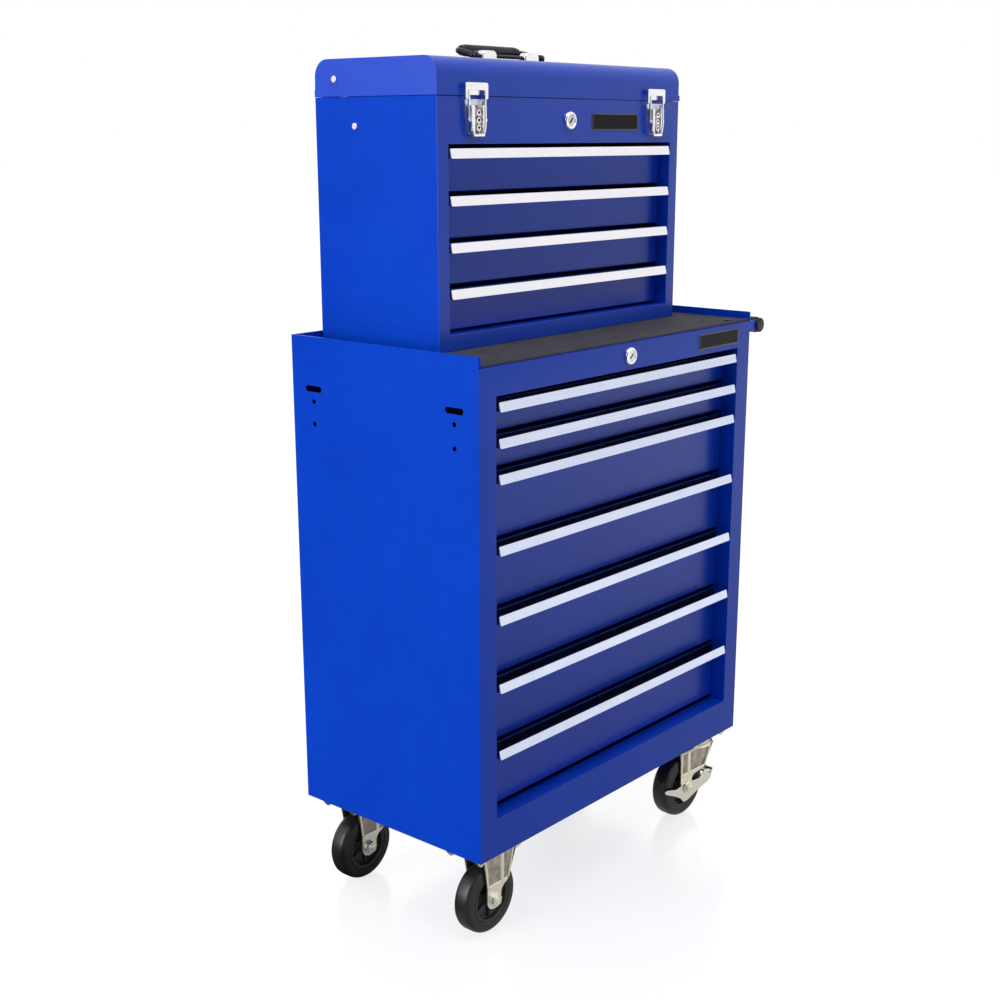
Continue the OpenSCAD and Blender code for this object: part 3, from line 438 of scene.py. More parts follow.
class Finish(Nodes):
    """One material, with the sums that feed its shader."""

    def __init__(self, name, slot=None, **constants):
        self.material = bpy.data.materials.new(name)
        self.material.use_nodes = True
        super().__init__(self.material.node_tree)
        self.shader = self.tree.nodes["Principled BSDF"]
        for socket, value in constants.items():
            self.shader.inputs[socket.replace("_", " ")].default_value = value
        self.place = self.node("TexCoord", out="Object")

    def set(self, **readings):
        """Link what varies over the surface to the shader."""
        for socket, reading in readings.items():
            self.feed(self.shader.inputs[socket.replace("_", " ")], reading)

    def noise(self, scale, detail=2.0, along=(1, 1, 1), rough=0.5):
        """Cloudy noise, with the pattern stretched where along is small."""
        stretched = self.node("Mapping", {}, {"Vector": self.place, "Scale": along}, "Vector")
        values = {"Vector": stretched, "Scale": scale, "Detail": detail, "Roughness": rough}
        return self.node("TexNoise", {}, values, "Fac")

    def ramp(self, reading, stops):
        """Turn a reading into the level that the stops give."""
        return self.node("ValToRGB", {"stops": stops}, {"Fac": reading}, "Color")

    def mix(self, share, first, second):
        """Share of the second colour in the first."""
        settings = {"data_type": "RGBA"}
        return self.node("Mix", settings, {0: share, 6: first, 7: second}, 2)

    def bump(self, height, strength, depth):
        """Fine relief: depth is in metres."""
        values = {"Height": height, "Strength": strength, "Distance": depth}
        return self.node("Bump", {}, values, "Normal")


print("node tools ready")

# %% [markdown]
# ## Blue enamel
# The steel is sprayed blue and baked. Close up, baked enamel is not quite level: it has a fine orange peel, a
# slightly uneven gloss, and a little more colour where it lies thick. An even colour with gloss alone would
# look like plastic film, so three slow and fast noises carry these.

# %% Blue enamel
def blue_enamel(name, slot, deep, light, gloss, shine):
    paint = Finish(name, slot, Specular_IOR_Level=shine, Coat_Weight=shine * 0.3, Coat_Roughness=0.12)
    thick = paint.noise(5.0, 3.0)
    peel = paint.noise(420.0, 2.0)
    haze = paint.noise(38.0, 4.0)
    paint.set(Base_Color=paint.mix(paint.ramp(thick * 0.7 + haze * 0.3, [(0.32, 0.0), (0.68, 1.0)]),
                                   deep, light))
    paint.set(Roughness=gloss + haze * 0.08)
    paint.set(Normal=paint.bump(peel, 0.22, 0.00006))
    return paint.material


# The four enamels are one blue paint, copied with its colour and sheen changed by where it lies, as painted light
# and shade: the side wraps a little darker with almost no sheen, the drawers a little darker with more sheen, and
# the chest and lid lighter and glossiest.
body_enamel = blue_enamel("body_enamel", "body_paint",
                          (0.0009, 0.052, 0.560), (0.0015, 0.066, 0.640), 0.27, 0.20)
drawer_enamel = blue_enamel("drawer_enamel", "drawer_paint",
                            (0.0012, 0.048, 0.550), (0.0018, 0.060, 0.620), 0.29, 0.30)
side_enamel_painted_shade = blue_enamel("side_enamel_painted_shade", "body_paint",
                          (0.0007, 0.050, 0.545), (0.0012, 0.062, 0.625), 0.30, 0.06)
chest_enamel_painted_light = blue_enamel("chest_enamel_painted_light", "body_paint",
                           (0.0012, 0.055, 0.570), (0.0020, 0.069, 0.650), 0.29, 0.34)
print("enamels:", body_enamel.name, drawer_enamel.name, side_enamel_painted_shade.name, chest_enamel_painted_light.name)

# %% [markdown]
# ## Drawn aluminium
# The pulls are drawn through a die and lightly anodised, which leaves fine lines along their whole length and a
# soft white sheen. The cabinet's pulls get a darker, bluer copy of the same metal, as painted shade and blue
# reflection. Brushed metal is often made with anisotropy, but lines as wide as a hair are shown better by a noise
# that is stretched along the pull and feeds colour, roughness and relief together.

# %% Drawn aluminium
def drawn(name, dull, clean):
    bar = Finish(name, "pull_aluminium", Metallic=0.86, Specular_IOR_Level=0.6)
    lines = bar.noise(900.0, 3.0, along=(0.004, 1, 1))
    patches = bar.noise(24.0, 2.0)
    bar.set(Base_Color=bar.mix(bar.ramp(lines * 0.6 + patches * 0.4, [(0.3, 0.0), (0.7, 1.0)]), dull, clean))
    bar.set(Roughness=0.27 + lines * 0.14)
    bar.set(Normal=bar.bump(lines, 0.25, 0.00004))
    return bar.material


pull_white = drawn("drawn_aluminium", (0.90, 0.90, 0.97), (0.98, 0.97, 1.0))
# A darker, bluer copy for the cabinet's pulls: painted shade and blue reflection.
shaded_blue_pull_copy = drawn("aluminium_painted_shade_blue", (0.62, 0.68, 0.88), (0.76, 0.81, 0.96))
print("pulls:", pull_white.name, shaded_blue_pull_copy.name)

# %% [markdown]
# ## Chrome, bright steel and zinc
# The latches, locks and handle posts are chromed: almost a mirror, with faint smears. Runners, stays and hinge
# are plain rolled steel, greyer and softer. The casters are zinc plated and dipped, which leaves a warm cream
# tint that wanders over the metal. All three are one kind of finish with other numbers, so one function makes
# them.

# %% Plated metals
def plated(name, slot, cool, warm, gloss, spread, cloud, grain, relief):
    metal = Finish(name, slot, Metallic=1.0)
    wander = metal.noise(cloud, 3.0)
    fine = metal.noise(grain, 2.0)
    metal.set(Base_Color=metal.mix(metal.ramp(wander, [(0.35, 0.0), (0.65, 1.0)]), cool, warm))
    metal.set(Roughness=gloss + wander * spread * 0.5 + fine * spread * 0.5)
    metal.set(Normal=metal.bump(fine, relief, 0.00005))
    return metal.material


chrome = plated("bright_chrome", "chrome_trim", (0.84, 0.85, 0.89), (0.90, 0.90, 0.92),
                0.05, 0.08, 60.0, 500.0, 0.05)
steel = plated("rolled_steel", "bright_steel", (0.60, 0.61, 0.64), (0.70, 0.70, 0.71),
               0.28, 0.16, 40.0, 700.0, 0.15)
# Near black steel for the slide channels: painted shade inside the bodies.
slide_channel_painted_shade = plated("channel_steel_painted_dark_shade", "bright_steel", (0.10, 0.10, 0.12), (0.16, 0.16, 0.17),
                       0.38, 0.16, 40.0, 700.0, 0.15)
zinc = plated("dipped_zinc", "zinc_plate", (0.90, 0.89, 0.80), (0.96, 0.91, 0.72),
              0.24, 0.18, 55.0, 420.0, 0.20)
# Darker zinc for the pressed fork panels: painted shade.
zinc_painted_shade = plated("dulled_zinc_with_painted_shade", "zinc_plate", (0.34, 0.30, 0.25), (0.56, 0.51, 0.42),
                    0.36, 0.18, 90.0, 420.0, 0.20)
# Dark mottled chrome for the middle strip of the latch levers: painted shade.
latch_painted_shade = plated("chrome_painted_mottled_shade", "chrome_trim", (0.035, 0.022, 0.026), (0.50, 0.45, 0.46),
                     0.24, 0.18, 300.0, 900.0, 0.25)
plug_face = plated("satin_plug", "chrome_trim", (0.50, 0.50, 0.56), (0.72, 0.72, 0.78),
                   0.26, 0.14, 120.0, 800.0, 0.15)
satin = plated("satin_chrome", "chrome_trim", (0.62, 0.62, 0.70), (0.86, 0.86, 0.92),
               0.34, 0.16, 200.0, 600.0, 0.12)
# Dark navy for the inside of the pull channels: painted shade.
pull_channel_painted_shade = plated("pull_channel_painted_shade", "pull_aluminium", (0.010, 0.012, 0.050), (0.020, 0.024, 0.080),
                     0.40, 0.16, 60.0, 700.0, 0.15)
print("metals:", [m.name for m in (chrome, steel, slide_channel_painted_shade, zinc, zinc_painted_shade, latch_painted_shade, plug_face, satin,
                                   pull_channel_painted_shade)])

# %% [markdown]
# ## Black parts and rubber
# The grips and caps are moulded plastic with a fine grain, the handle bail is black enamel, the tyres are hard
# rubber with a dull bloom, and the mat is soft rubber that has gathered some grey dust. Each is a dark colour
# with its own grain size, because black things are told apart by their gloss.

# %% Black finishes
def moulded(name, slot, dark, pale, gloss, spread, grain, relief, specular):
    skin = Finish(name, slot, Specular_IOR_Level=specular)
    pores = skin.noise(grain, 3.0, rough=0.6)
    bloom = skin.noise(22.0, 3.0)
    skin.set(Base_Color=skin.mix(skin.ramp(bloom * 0.7 + pores * 0.3, [(0.35, 0.0), (0.7, 1.0)]), dark, pale))
    skin.set(Roughness=gloss + bloom * spread * 0.6 + pores * spread * 0.4)
    skin.set(Normal=skin.bump(pores, relief, 0.00012))
    return skin.material


grip_black = moulded("grained_grip", "black_grip", (0.006, 0.005, 0.010), (0.014, 0.012, 0.022),
                     0.34, 0.14, 900.0, 0.35, 0.30)
bail_black = moulded("black_enamel", "black_paint", (0.005, 0.004, 0.010), (0.011, 0.010, 0.020),
                     0.20, 0.10, 300.0, 0.12, 0.28)
plate_black = moulded("plate_field", "black_paint", (0.004, 0.004, 0.007), (0.009, 0.009, 0.013),
                      0.36, 0.12, 650.0, 0.15, 0.10)
tyre_black = moulded("tyre_rubber", "wheel_rubber", (0.008, 0.008, 0.010), (0.024, 0.022, 0.021),
                     0.24, 0.18, 260.0, 0.30, 0.45)
# The hub is a lighter copy of the tyre's black, painted light against the shade in its dished web.
hub_painted_light = moulded("hub_rubber_painted_lighter", "wheel_rubber", (0.034, 0.034, 0.036), (0.060, 0.058, 0.056),
                    0.34, 0.16, 300.0, 0.30, 0.45)
mat_grey = moulded("mat_rubber", "mat_rubber", (0.060, 0.058, 0.078), (0.108, 0.102, 0.124),
                   0.62, 0.16, 800.0, 0.45, 0.3)
# Near black for the keyway and behind the latch levers' holes: painted shade.
painted_shade_black = moulded("painted_shade_black", "black_paint", (0.010, 0.010, 0.012), (0.030, 0.030, 0.034),
                    0.60, 0.20, 400.0, 0.20, 0.2)
print("black finishes:", [m.name for m in (grip_black, bail_black, plate_black, tyre_black, mat_grey, painted_shade_black)])

# %% [markdown]
# ## Folded bodies
# The cabinet and the chest are each a wrap of one millimetre sheet with a front frame welded in. The bend from
# front to side has the widest radius, the edges of the window are rolled next, and the cut edges are only
# broken. One bevel for all of them would lose this order, so the edges are picked by where they lie.

# %% Front frames
NEAR = 0.05  # this close counts as on a plane
SHEET = 1.0


def on_corner(front, side):
    """Picks the upright bend between a front and its sides."""
    def test(middle, edge):
        upright = abs(edge.verts[0].co.z - edge.verts[1].co.z) > 1
        return upright and abs(middle.y - front) < NEAR and abs(abs(middle.x) - side) < NEAR
    return test


def on_front(front):
    """Picks edges that lie in a front face."""
    return lambda middle, edge: abs(middle.y - front) < NEAR


BEND, WINDOW = 0.95, 0.7
for node, front, side, skin in (("cabinet_front_frame", cabinet_front, side_out, body_enamel),
                                ("chest_front_frame", chest_front, chest_side, chest_enamel_painted_light)):
    sheet = copy_part(node)
    bends = soften(sheet, BEND, 4, where=on_corner(front, side), clamp=False)
    window = soften(sheet, WINDOW, 3, sharp=70, where=on_front(front), clamp=False)
    show_part(node, sheet, [skin], turned=False)
    print(node, "bends", bends, "window edges", window)

# %% [markdown]
# ## Wraps, deck and inner sheets
# These sheets meet others edge to edge, so their edges get only a hair of rounding. A wider bevel would open
# grooves at the welds that the painted body does not have.

# %% Wraps and inner sheets
def away_from(front):
    """Picks edges that don't lie against the back of a front sheet."""
    return lambda middle, edge: abs(middle.y - front - SHEET) > NEAR


for node, front in (("cabinet_wrap", cabinet_front), ("chest_wrap", chest_front)):
    sheet = copy_part(node)
    print(node, "edges", soften(sheet, 0.3, 2, where=away_from(front), clamp=False))
    show_part(node, sheet, [side_enamel_painted_shade], turned=False)

for node in ("cabinet_deck", "cabinet_base_pan", "chest_till_floor", "lid_hook"):
    soft_part(node, body_enamel, 0.25)

# %% [markdown]
# ## The lid
# The lid is pressed with round front and back edges and a rolled bead round its foot. Its flat ends meet the
# round edges in a soft corner, which catches more light than any other edge of the chest. The stay studs end
# in rivet heads outside, left bright, so those faces get the steel finish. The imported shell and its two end
# walls are one pressing, so both go into one piece.

# %% Lid
lid = copy_part("chest_lid")
add_shape(lid, copy_part("lid_ends"))
bead_top = seam + 8.6
stud_y, stud_z = chest_back - 36, seam + 22
ends = soften(lid, 0.9, 4, sharp=60, clamp=False,
              where=lambda m, e: abs(abs(m.x) - chest_side) < NEAR and m.z > seam + 9 and
              math.hypot(m.y - stud_y, m.z - stud_z) > 6)
bead = soften(lid, 0.45, 3, sharp=60, clamp=False, where=lambda m, e: m.z < bead_top and
              (abs(m.x) > chest_side + 0.9 or m.y < chest_front - 0.9) and
              abs(abs(m.x) - chest_side + SHEET) > NEAR)
heads = soften(lid, 0.5, 3, sharp=60, clamp=False,
               where=lambda m, e: abs(m.x) > chest_side + 1.1 and m.z > seam + 10)
paint_faces(lid, 1, lambda c: abs(c.x) > chest_side + 0.02 and c.z > seam + 10)
finish_piece("chest_lid_finished", lid, "lid", [chest_enamel_painted_light, steel], ["chest_lid", "lid_ends"], turned=False)
print("lid ends", ends, "bead", bead, "stud heads", heads)

# %% [markdown]
# ## Drawers
# A drawer is a tray with its front set back between the posts. The front is folded under at its foot, and that
# fold is the widest radius on it, showing as a thin light line above the pull of the next drawer. The
# runners are bright steel on the painted tray. One function shapes all eleven.

# %% Drawers
RUNNER = (6.2, 2.2)  # the runners lie between these distances from the front's ends


def across(edge):
    """How far an edge runs from left to right."""
    return abs(edge.verts[0].co.x - edge.verts[1].co.x)


def shape_drawer(node):
    low, high = box_mm(node)
    tray = copy_part(node)
    fold = soften(tray, 1.8, 4, sharp=70, clamp=False,
                  where=lambda m, e: (m - low).yz.length < NEAR and across(e) > 50)
    soften(tray, 0.25, 2, sharp=60, clamp=False, where=lambda m, e: m.z > low.z + 3)
    paint_faces(tray, 1, lambda c: RUNNER[1] < high.x - abs(c.x) < RUNNER[0] and c.y > low.y + 9.5)
    show_part(node, tray, [drawer_enamel, steel], turned=False)
    return fold


for node in [n for n in frame["nodes"] if n.startswith(("cabinet_drawer_", "chest_drawer_"))]:
    print(node, "folds", shape_drawer(node))

# %% [markdown]
# ## Pulls
# Each pull is one drawn channel. Its long lips are a little rounded by the die and its sawn ends are only broken.
# The face that the hand meets is bright, while the inside of the channel is painted dark navy as the shade in it.

# %% Pulls
for node in [n for n in frame["nodes"] if n.startswith(("cabinet_pull_", "chest_pull_"))]:
    channel = copy_part(node)
    face = box_mm(node)[0]
    foot = soften(channel, 1.5, 4, sharp=50, clamp=False,
                  where=lambda m, e: across(e) > 50 and (m - face).yz.length < NEAR)
    lips = soften(channel, 0.5, 3, sharp=50, clamp=False,
                  where=lambda m, e: across(e) > 50 and m.y < face.y + 4.5 and m.z > face.z + 6)
    rims = soften(channel, 0.25, 2, sharp=60, clamp=False, where=lambda m, e: across(e) < 5)
    # The inside of the channel is painted dark navy, as the shade in it.
    paint_faces(channel, 1, lambda c: c.y > face.y + 3.4 and c.z > face.z + 1.0)
    # The cabinet's pulls take the darker, bluer copy, painted shade and blue reflection.
    pull_metal = pull_white if node.startswith("chest") else shaded_blue_pull_copy
    show_part(node, channel, [pull_metal, pull_channel_painted_shade], turned=False)
print("last pull: foot", foot, "lips", lips, "rims", rims)

# %% [markdown]
# ## Mat and hidden metal
# The mat is extruded rubber with low ribs, whose tops are worn slightly round. Behind the fronts are plain steel
# parts: channels, stays, hinge leaves, rivets and the locking bar. They are shown when a drawer or the lid opens,
# so they get softened edges and rolled steel, while nothing more would ever be seen. The slide channels are
# painted near black instead, as the shade inside the bodies.

# %% Mat and hidden metal
for node, finish, width in (("deck_mat", mat_grey, 0.28),
                            ("cabinet_slide_channels", slide_channel_painted_shade, 0.2),
                            ("chest_slide_channels", slide_channel_painted_shade, 0.2),
                            ("cabinet_lock_bar", steel, 0.25), ("lid_stays", steel, 0.25),
                            ("stay_rivets", steel, 0.35), ("hinge_leaf_fixed", steel, 0.12),
                            ("hinge_leaf_moving", steel, 0.12)):
    soft_part(node, finish, width)

# %% [markdown]
# ## Locks
# A lock shows a polished ring with a plug in it, and the keyway stands at a slant until the key turns it. The
# plug starts as a disc that four cuts divide, so that the keyway's own face can be sunk. A boolean would cut
# the same slot but leaves thin triangles round it.

# %% Lock faces
LOCK_R, LOCK_OUT, PLUG_R = 12, 5, 7.95
KEYWAY = (4.6, 1.3, 3.0)  # half its length, half its width, its depth
LOCK_FINISHES = [chrome, painted_shade_black, plug_face]


def lock_front(front, z):
    """Ring, slotted plug and the barrel behind them, standing out from the panel."""
    bm = bmesh.new()
    ring = [(0, 0), (0, 0.5), (0.8, 0.82), (2.0, 1), (3.3, 1), (3.9, 0.88), (4.0, 0.6), (4.0, 0)]
    lathe(bm, "y", (0, z), [(LOCK_R - u, front - LOCK_OUT * v) for u, v in ring], 56, closed=True)
    plug = bmesh.new()
    bmesh.ops.create_circle(plug, cap_ends=True, cap_tris=False, radius=PLUG_R, segments=48)
    for step, normal in ((KEYWAY[1], (0, 1, 0)), (-KEYWAY[1], (0, 1, 0)),
                         (KEYWAY[0], (1, 0, 0)), (-KEYWAY[0], (1, 0, 0))):
        cut_through(plug, whole(plug), Vector(normal) * step, normal)
    raised = bmesh.ops.extrude_face_region(plug, geom=list(plug.faces))["geom"]
    bmesh.ops.translate(plug, vec=(0, 0, LOCK_OUT * 0.8), verts=only(bmesh.types.BMVert, raised))
    for face in plug.faces:
        face.material_index = 2
    slot = min(only(bmesh.types.BMFace, raised), key=lambda f: f.calc_center_median().xy.length)
    sunk = bmesh.ops.extrude_face_region(plug, geom=[slot])["geom"]
    bmesh.ops.translate(plug, vec=(0, 0, -KEYWAY[2]), verts=only(bmesh.types.BMVert, sunk))
    bmesh.ops.delete(plug, geom=[slot], context="FACES_ONLY")
    # The keyway's floor and walls get the near black, painted shade.
    floor = only(bmesh.types.BMFace, sunk)[0]
    for face in [floor] + [f for e in floor.edges for f in e.link_faces]:
        face.material_index = 1
    slant = Matrix.Rotation(math.radians(-45), 4, "Y")
    upright = Matrix.Rotation(math.radians(90), 4, "X")
    bmesh.ops.transform(plug, matrix=Matrix.Translation((0, front, z)) @ slant @ upright, verts=plug.verts)
    bmesh.ops.recalc_face_normals(plug, faces=plug.faces)
    add_shape(bm, plug)
    rod(bm, "y", (0, z), front + 0.2, front + 16, 8.9, 0.5)
    return bm


rear = box_mm("cabinet_lock")[1].y
lock_z = box_mm("deck_mat")[0].z - 19
lock = lock_front(cabinet_front, lock_z)
rod(lock, "y", (0, lock_z), cabinet_front + 15, rear - 8, 3, 0.3)
blank(lock, "y", rectangle((-4, 13), (lock_z - 3.5, lock_z + 3.5)), rear - 8, rear - 5, 2.5)
rod(lock, "y", (10, lock_z), rear - 8, rear, 2, 0.3)
show_part("cabinet_lock", lock, LOCK_FINISHES)

chest_lock_z = seam - 28
lock = lock_front(chest_front, chest_lock_z)
rod(lock, "y", (0, chest_lock_z), chest_front + 15, chest_front + 19.6, 3, 0.3)
cam = rectangle((-4, 4), (chest_lock_z - 4, chest_lock_z + 20))
blank(lock, "y", cam, chest_front + 16, chest_front + 19, 2)
show_part("chest_lock", lock, LOCK_FINISHES)
print("locks at heights", round(lock_z, 1), round(chest_lock_z, 1))

# %% [markdown]
# ## Blank name plates
# Each front carries a small black plate with a thin rim, left bare. It is a stamping: the rim stays up and the
# field is pressed in. Insetting the front face and pushing it back makes both at once.

# %% Name plates and deck plug
def name_plate(name, x, z, half, front, body):
    plate = bmesh.new()
    face = blank(plate, "y", rectangle(x, (z - half, z + half)), front, front - 1.1, 2.0)
    bevel(plate, face.edges, 0.3)
    face = min(plate.faces, key=lambda f: f.calc_center_median().y - f.calc_area() * 0.001)
    press_in(plate, face, 1.1, 0.3, 0.4)
    face.material_index = 1
    finish_piece(name, plate, body, [rim_metal, plate_black])


rim_metal = moulded("plate_rim", "black_paint", (0.050, 0.050, 0.070), (0.090, 0.090, 0.120),
                    0.25, 0.10, 300.0, 0.10, 0.6)
name_plate("cabinet_name_plate", (170, 274), lock_z, 11, cabinet_front, "cabinet")
name_plate("chest_name_plate", (51, 157), seam - 29.5, 11.2, chest_front, "chest")
plug = bmesh.new()
dome(plug, "z", (263, cabinet_front + 11), deck_top - 0.1, deck_top + 2.6, 6.5)
finish_piece("deck_plug", plug, "cabinet", [grip_black])
print("two blank plates and a plug")

# %% [markdown]
# ## Draw latches
# A draw latch is four stampings: a base with a turned up rim and two ears, a lever that turns on the base's pin, a
# loop carried by the lever, and a keeper on the lid. The base starts as a thick tapered blank whose face is inset
# and pushed back, which leaves the rim. The lever is the imported one with rolled rails and a curled lip added. A
# near black sheet inside it is painted shade, seen through its three holes, and the strip of its face between the
# rails is painted dark and mottled as shade.

# %% Latch parts
def middle_of(node):
    low, high = box_mm(node)
    return (low + high) / 2


LATCH_X = middle_of("latch_lever_right").x
pivot_z, foot_z = seam - 14, seam - 48


def latch_base(bm, x):
    outline = [(x - 19, seam - 4), (x - 13, foot_z + 2), (x + 13, foot_z + 2), (x + 19, seam - 4)]
    face = blank(bm, "y", outline, chest_front, chest_front - 3, 2.2)
    press_in(bm, face, 1.5, 0.3, 1.8)
    ear = [(chest_front - u, pivot_z + v) for u, v in ((1, -3.2), (8, -3.2), (8, 3.2), (1, 3.2))]
    for low, high in ((-12, -10.5), (10.5, 12)):
        blank(bm, "x", ear, x + low, x + high, 2.6, which=(1, 2))
    rod(bm, "x", (chest_front - 5, pivot_z), x - 13.8, x + 13.8, 1.2, 0.3, 16)
    for z in (foot_z + 6, foot_z + 24):
        dome(bm, "y", (x, z), chest_front - 1.1, chest_front - 2.6, 2.6, 20)


def latch_lever(node, x):
    bm = copy_part(node)
    soften(bm, 0.22, 2, clamp=False)
    skin, strip = chest_front - 9.8, 7.6
    for edge in (-strip, strip):
        cut_through(bm, whole(bm), (x + edge, 0, 0), (1, 0, 0))
    bm.normal_update()
    # The strip of the face between the rails is painted dark and mottled, as shade.
    for face in bm.faces:
        if face.normal.y < -0.9 and abs(face.calc_center_median().x - x) < strip:
            face.material_index = 2
    rail = [(13.5, pivot_z + 2.8), (11.0, pivot_z + 2.8), (11.0, foot_z + 13.5),
            (strip, foot_z + 1.5), (9.9, foot_z + 0.4), (13.5, foot_z + 12.8)]
    for side in (-1, 1):
        face = blank(bm, "y", [(x + side * u, v) for u, v in rail], skin + 0.4, skin - 0.9, 0.7, 3)
        bevel(bm, face.edges, 0.4, 3)
    rod(bm, "x", (skin + 0.1, foot_z + 0.9), x - 9.9, x + 9.9, 1.7, 0.7, 20)
    # A near black sheet inside the lever is painted shade, seen through its three holes.
    before = set(bm.faces)
    slab(bm, (x - 9.4, x + 9.4), (skin + 1.3, skin + 1.7), (foot_z + 4, pivot_z + 1))
    for face in set(bm.faces) - before:
        face.material_index = 1
    collar = [(2.0, skin + 0.2), (2.3, skin - 0.35), (3.2, skin - 0.45), (3.9, skin + 0.2)]
    for k in range(3):
        lathe(bm, "y", (x, foot_z + 10 + 9 * k), collar, 24, closed=True)
    return bm


base = bmesh.new()
for side in (-1, 1):
    latch_base(base, side * LATCH_X)
show_part("latch_bases", base, [satin])
for side, hand in ((-1, "left"), (1, "right")):
    node = "latch_lever_" + hand
    show_part(node, latch_lever(node, side * LATCH_X), [chrome, painted_shade_black, latch_painted_shade])
    soft_part("latch_loop_" + hand, chrome, 0.45, 3)
print("latches at x", round(LATCH_X, 1))

# %% [markdown]
# ## Fittings on the lid
# Two chromed saddles carry the handle, each a strap bent over the pivot with a flange riveted down on both
# sides. An arch outline pulled to the strap's depth, with its rims well rounded, gives the bent look
# without modelling the bend itself. The latch keepers are small hooks that the loops pull down on.

# %% Saddles and keepers
PIVOT_Y = (chest_front + chest_back) / 2
PIVOT_Z = lid_top + 9


def saddle(bm, x):
    outline = [(x - 15, lid_top), (x + 15, lid_top), (x + 15, PIVOT_Z + 7), (x - 15, PIVOT_Z + 7)]
    before = set(bm.edges)
    blank(bm, "y", outline, PIVOT_Y - 7, PIVOT_Y + 7, 6.5, 6, which=(2, 3))
    bm.normal_update()
    rims = [e for e in bm.edges if e not in before and e.is_manifold and e.calc_face_angle() > 1.2 and
            (e.verts[0].co.z + e.verts[1].co.z) / 2 > lid_top + 1]
    bevel(bm, rims, 3.2, 4)
    flange = rectangle((x - 18, x + 18), (PIVOT_Y - 11, PIVOT_Y + 11))
    bevel(bm, blank(bm, "z", flange, lid_top, lid_top + 1.2, 3).edges, 0.4)
    for dx in (-12, 12):
        dome(bm, "z", (x + dx, PIVOT_Y - 9), lid_top + 1.1, lid_top + 2.2, 1.6, 16)


def keeper(bm, x):
    out = chest_front
    hook = (x - 13.2, x + 13.2)
    blank(bm, "y", rectangle((x - 15, x + 15), (seam + 8.6, seam + 15.4)), out, out - 1.3, 1.2)
    blank(bm, "y", rectangle(hook, (seam + 1.2, seam + 9.4)), out - 1.0, out - 2.2, 1.2)
    slab(bm, hook, (out - 4.8, out - 1.0), (seam + 8.4, seam + 9.6))
    blank(bm, "y", rectangle(hook, (seam + 8.4, seam + 13.4)), out - 3.6, out - 4.8, 1.0)


fittings = bmesh.new()
for side in (-1, 1):
    saddle(fittings, side * 45)
    keeper(fittings, side * LATCH_X)
show_part("lid_fittings", fittings, [chrome])
print("saddles and keepers done")

# %% [markdown]
# ## Carry handle
# The bail is a round bar bent twice, with a thick moulded grip between the bends, lying back on the lid. The
# bar is drawn as a smith would bend it: a disc is pushed straight, then spun round each bend. A bevelled curve
# would do as well, but would have to be turned into a mesh before its place is applied.

# %% Bent bars
BAR_STEPS, BEND_STEPS = 20, 7


def start_bar(bm, place, heading, radius):
    """A disc at the bar's first end, facing along heading."""
    turn = heading.to_track_quat("Z", "Y").to_matrix().to_4x4()
    made = bmesh.ops.create_circle(bm, cap_ends=True, cap_tris=False, radius=radius, segments=BAR_STEPS,
                                   matrix=Matrix.Translation(place) @ turn)
    return made["verts"][0].link_faces[0]


def push_bar(bm, face, move):
    """Push the bar's end straight on. The face it starts from stays inside the bar."""
    made = bmesh.ops.extrude_face_region(bm, geom=[face])["geom"]
    bmesh.ops.translate(bm, vec=move, verts=only(bmesh.types.BMVert, made))
    return only(bmesh.types.BMFace, made)[0]


def bend_bar(bm, face, place, heading, towards, radius):
    """Bend the bar's end a quarter turn from heading to towards."""
    made = bmesh.ops.spin(bm, geom=[face], cent=place + towards * radius, axis=heading.cross(towards),
                          angle=math.pi / 2, steps=BEND_STEPS, use_merge=False, use_duplicate=False)
    return only(bmesh.types.BMFace, made["geom_last"])[0]


BAIL_W, LEG, TURN_R = 139, 24.93, 10
rest = Vector((0, 34, 8))
lean, leftward = rest.normalized(), Vector((-1, 0, 0))
pivot = Vector((BAIL_W / 2, PIVOT_Y, PIVOT_Z))
grip_line = pivot + rest
bail = bmesh.new()
end = start_bar(bail, pivot, lean, 4.2)
end = push_bar(bail, end, lean * LEG)
end = bend_bar(bail, end, pivot + lean * LEG, lean, leftward, TURN_R)
end = push_bar(bail, end, leftward * (BAIL_W - 2 * TURN_R))
end = bend_bar(bail, end, grip_line + leftward * (BAIL_W - TURN_R), leftward, -lean, TURN_R)
end = push_bar(bail, end, -lean * LEG)
for low, high in ((-74.4, -64.6), (64.6, 74.4)):
    rod(bail, "x", (PIVOT_Y, PIVOT_Z), low, high, 5.4, 1.2)
rod(bail, "x", (PIVOT_Y, PIVOT_Z), -77, 77, 2.5, 0.8)
print("bail closed:", all(e.is_manifold for e in bail.edges), "faces", len(bail.faces))
show_part("carry_bail", bail, [bail_black])

grip = bmesh.new()
half_grip = [(0, 60), (5.6, 60), (6.6, 59), (7.2, 56), (7.6, 46), (7.9, 30)]
shape = [(r, -w) for r, w in half_grip] + [(8.0, 0)] + half_grip[::-1]
lathe(grip, "x", (grip_line.y, grip_line.z), shape, 36)
for edge in (-50, -46, -42, 42, 46, 50):
    ring = [(6.0, edge - 0.9), (7.9, edge - 0.5), (7.9, edge + 0.5), (6.0, edge + 0.9)]
    lathe(grip, "x", (grip_line.y, grip_line.z), ring, 36, closed=True)
show_part("carry_grip", grip, [grip_black])
print("carry handle done")

# %% [markdown]
# ## Push handle
# A moulded bar runs from front to back along the right side, held between two pressed brackets. Each end has a
# round cap outside its bracket. The bar is turned from one outline with shallow finger rings near both ends,
# where a plain cylinder would look like a broom stick.

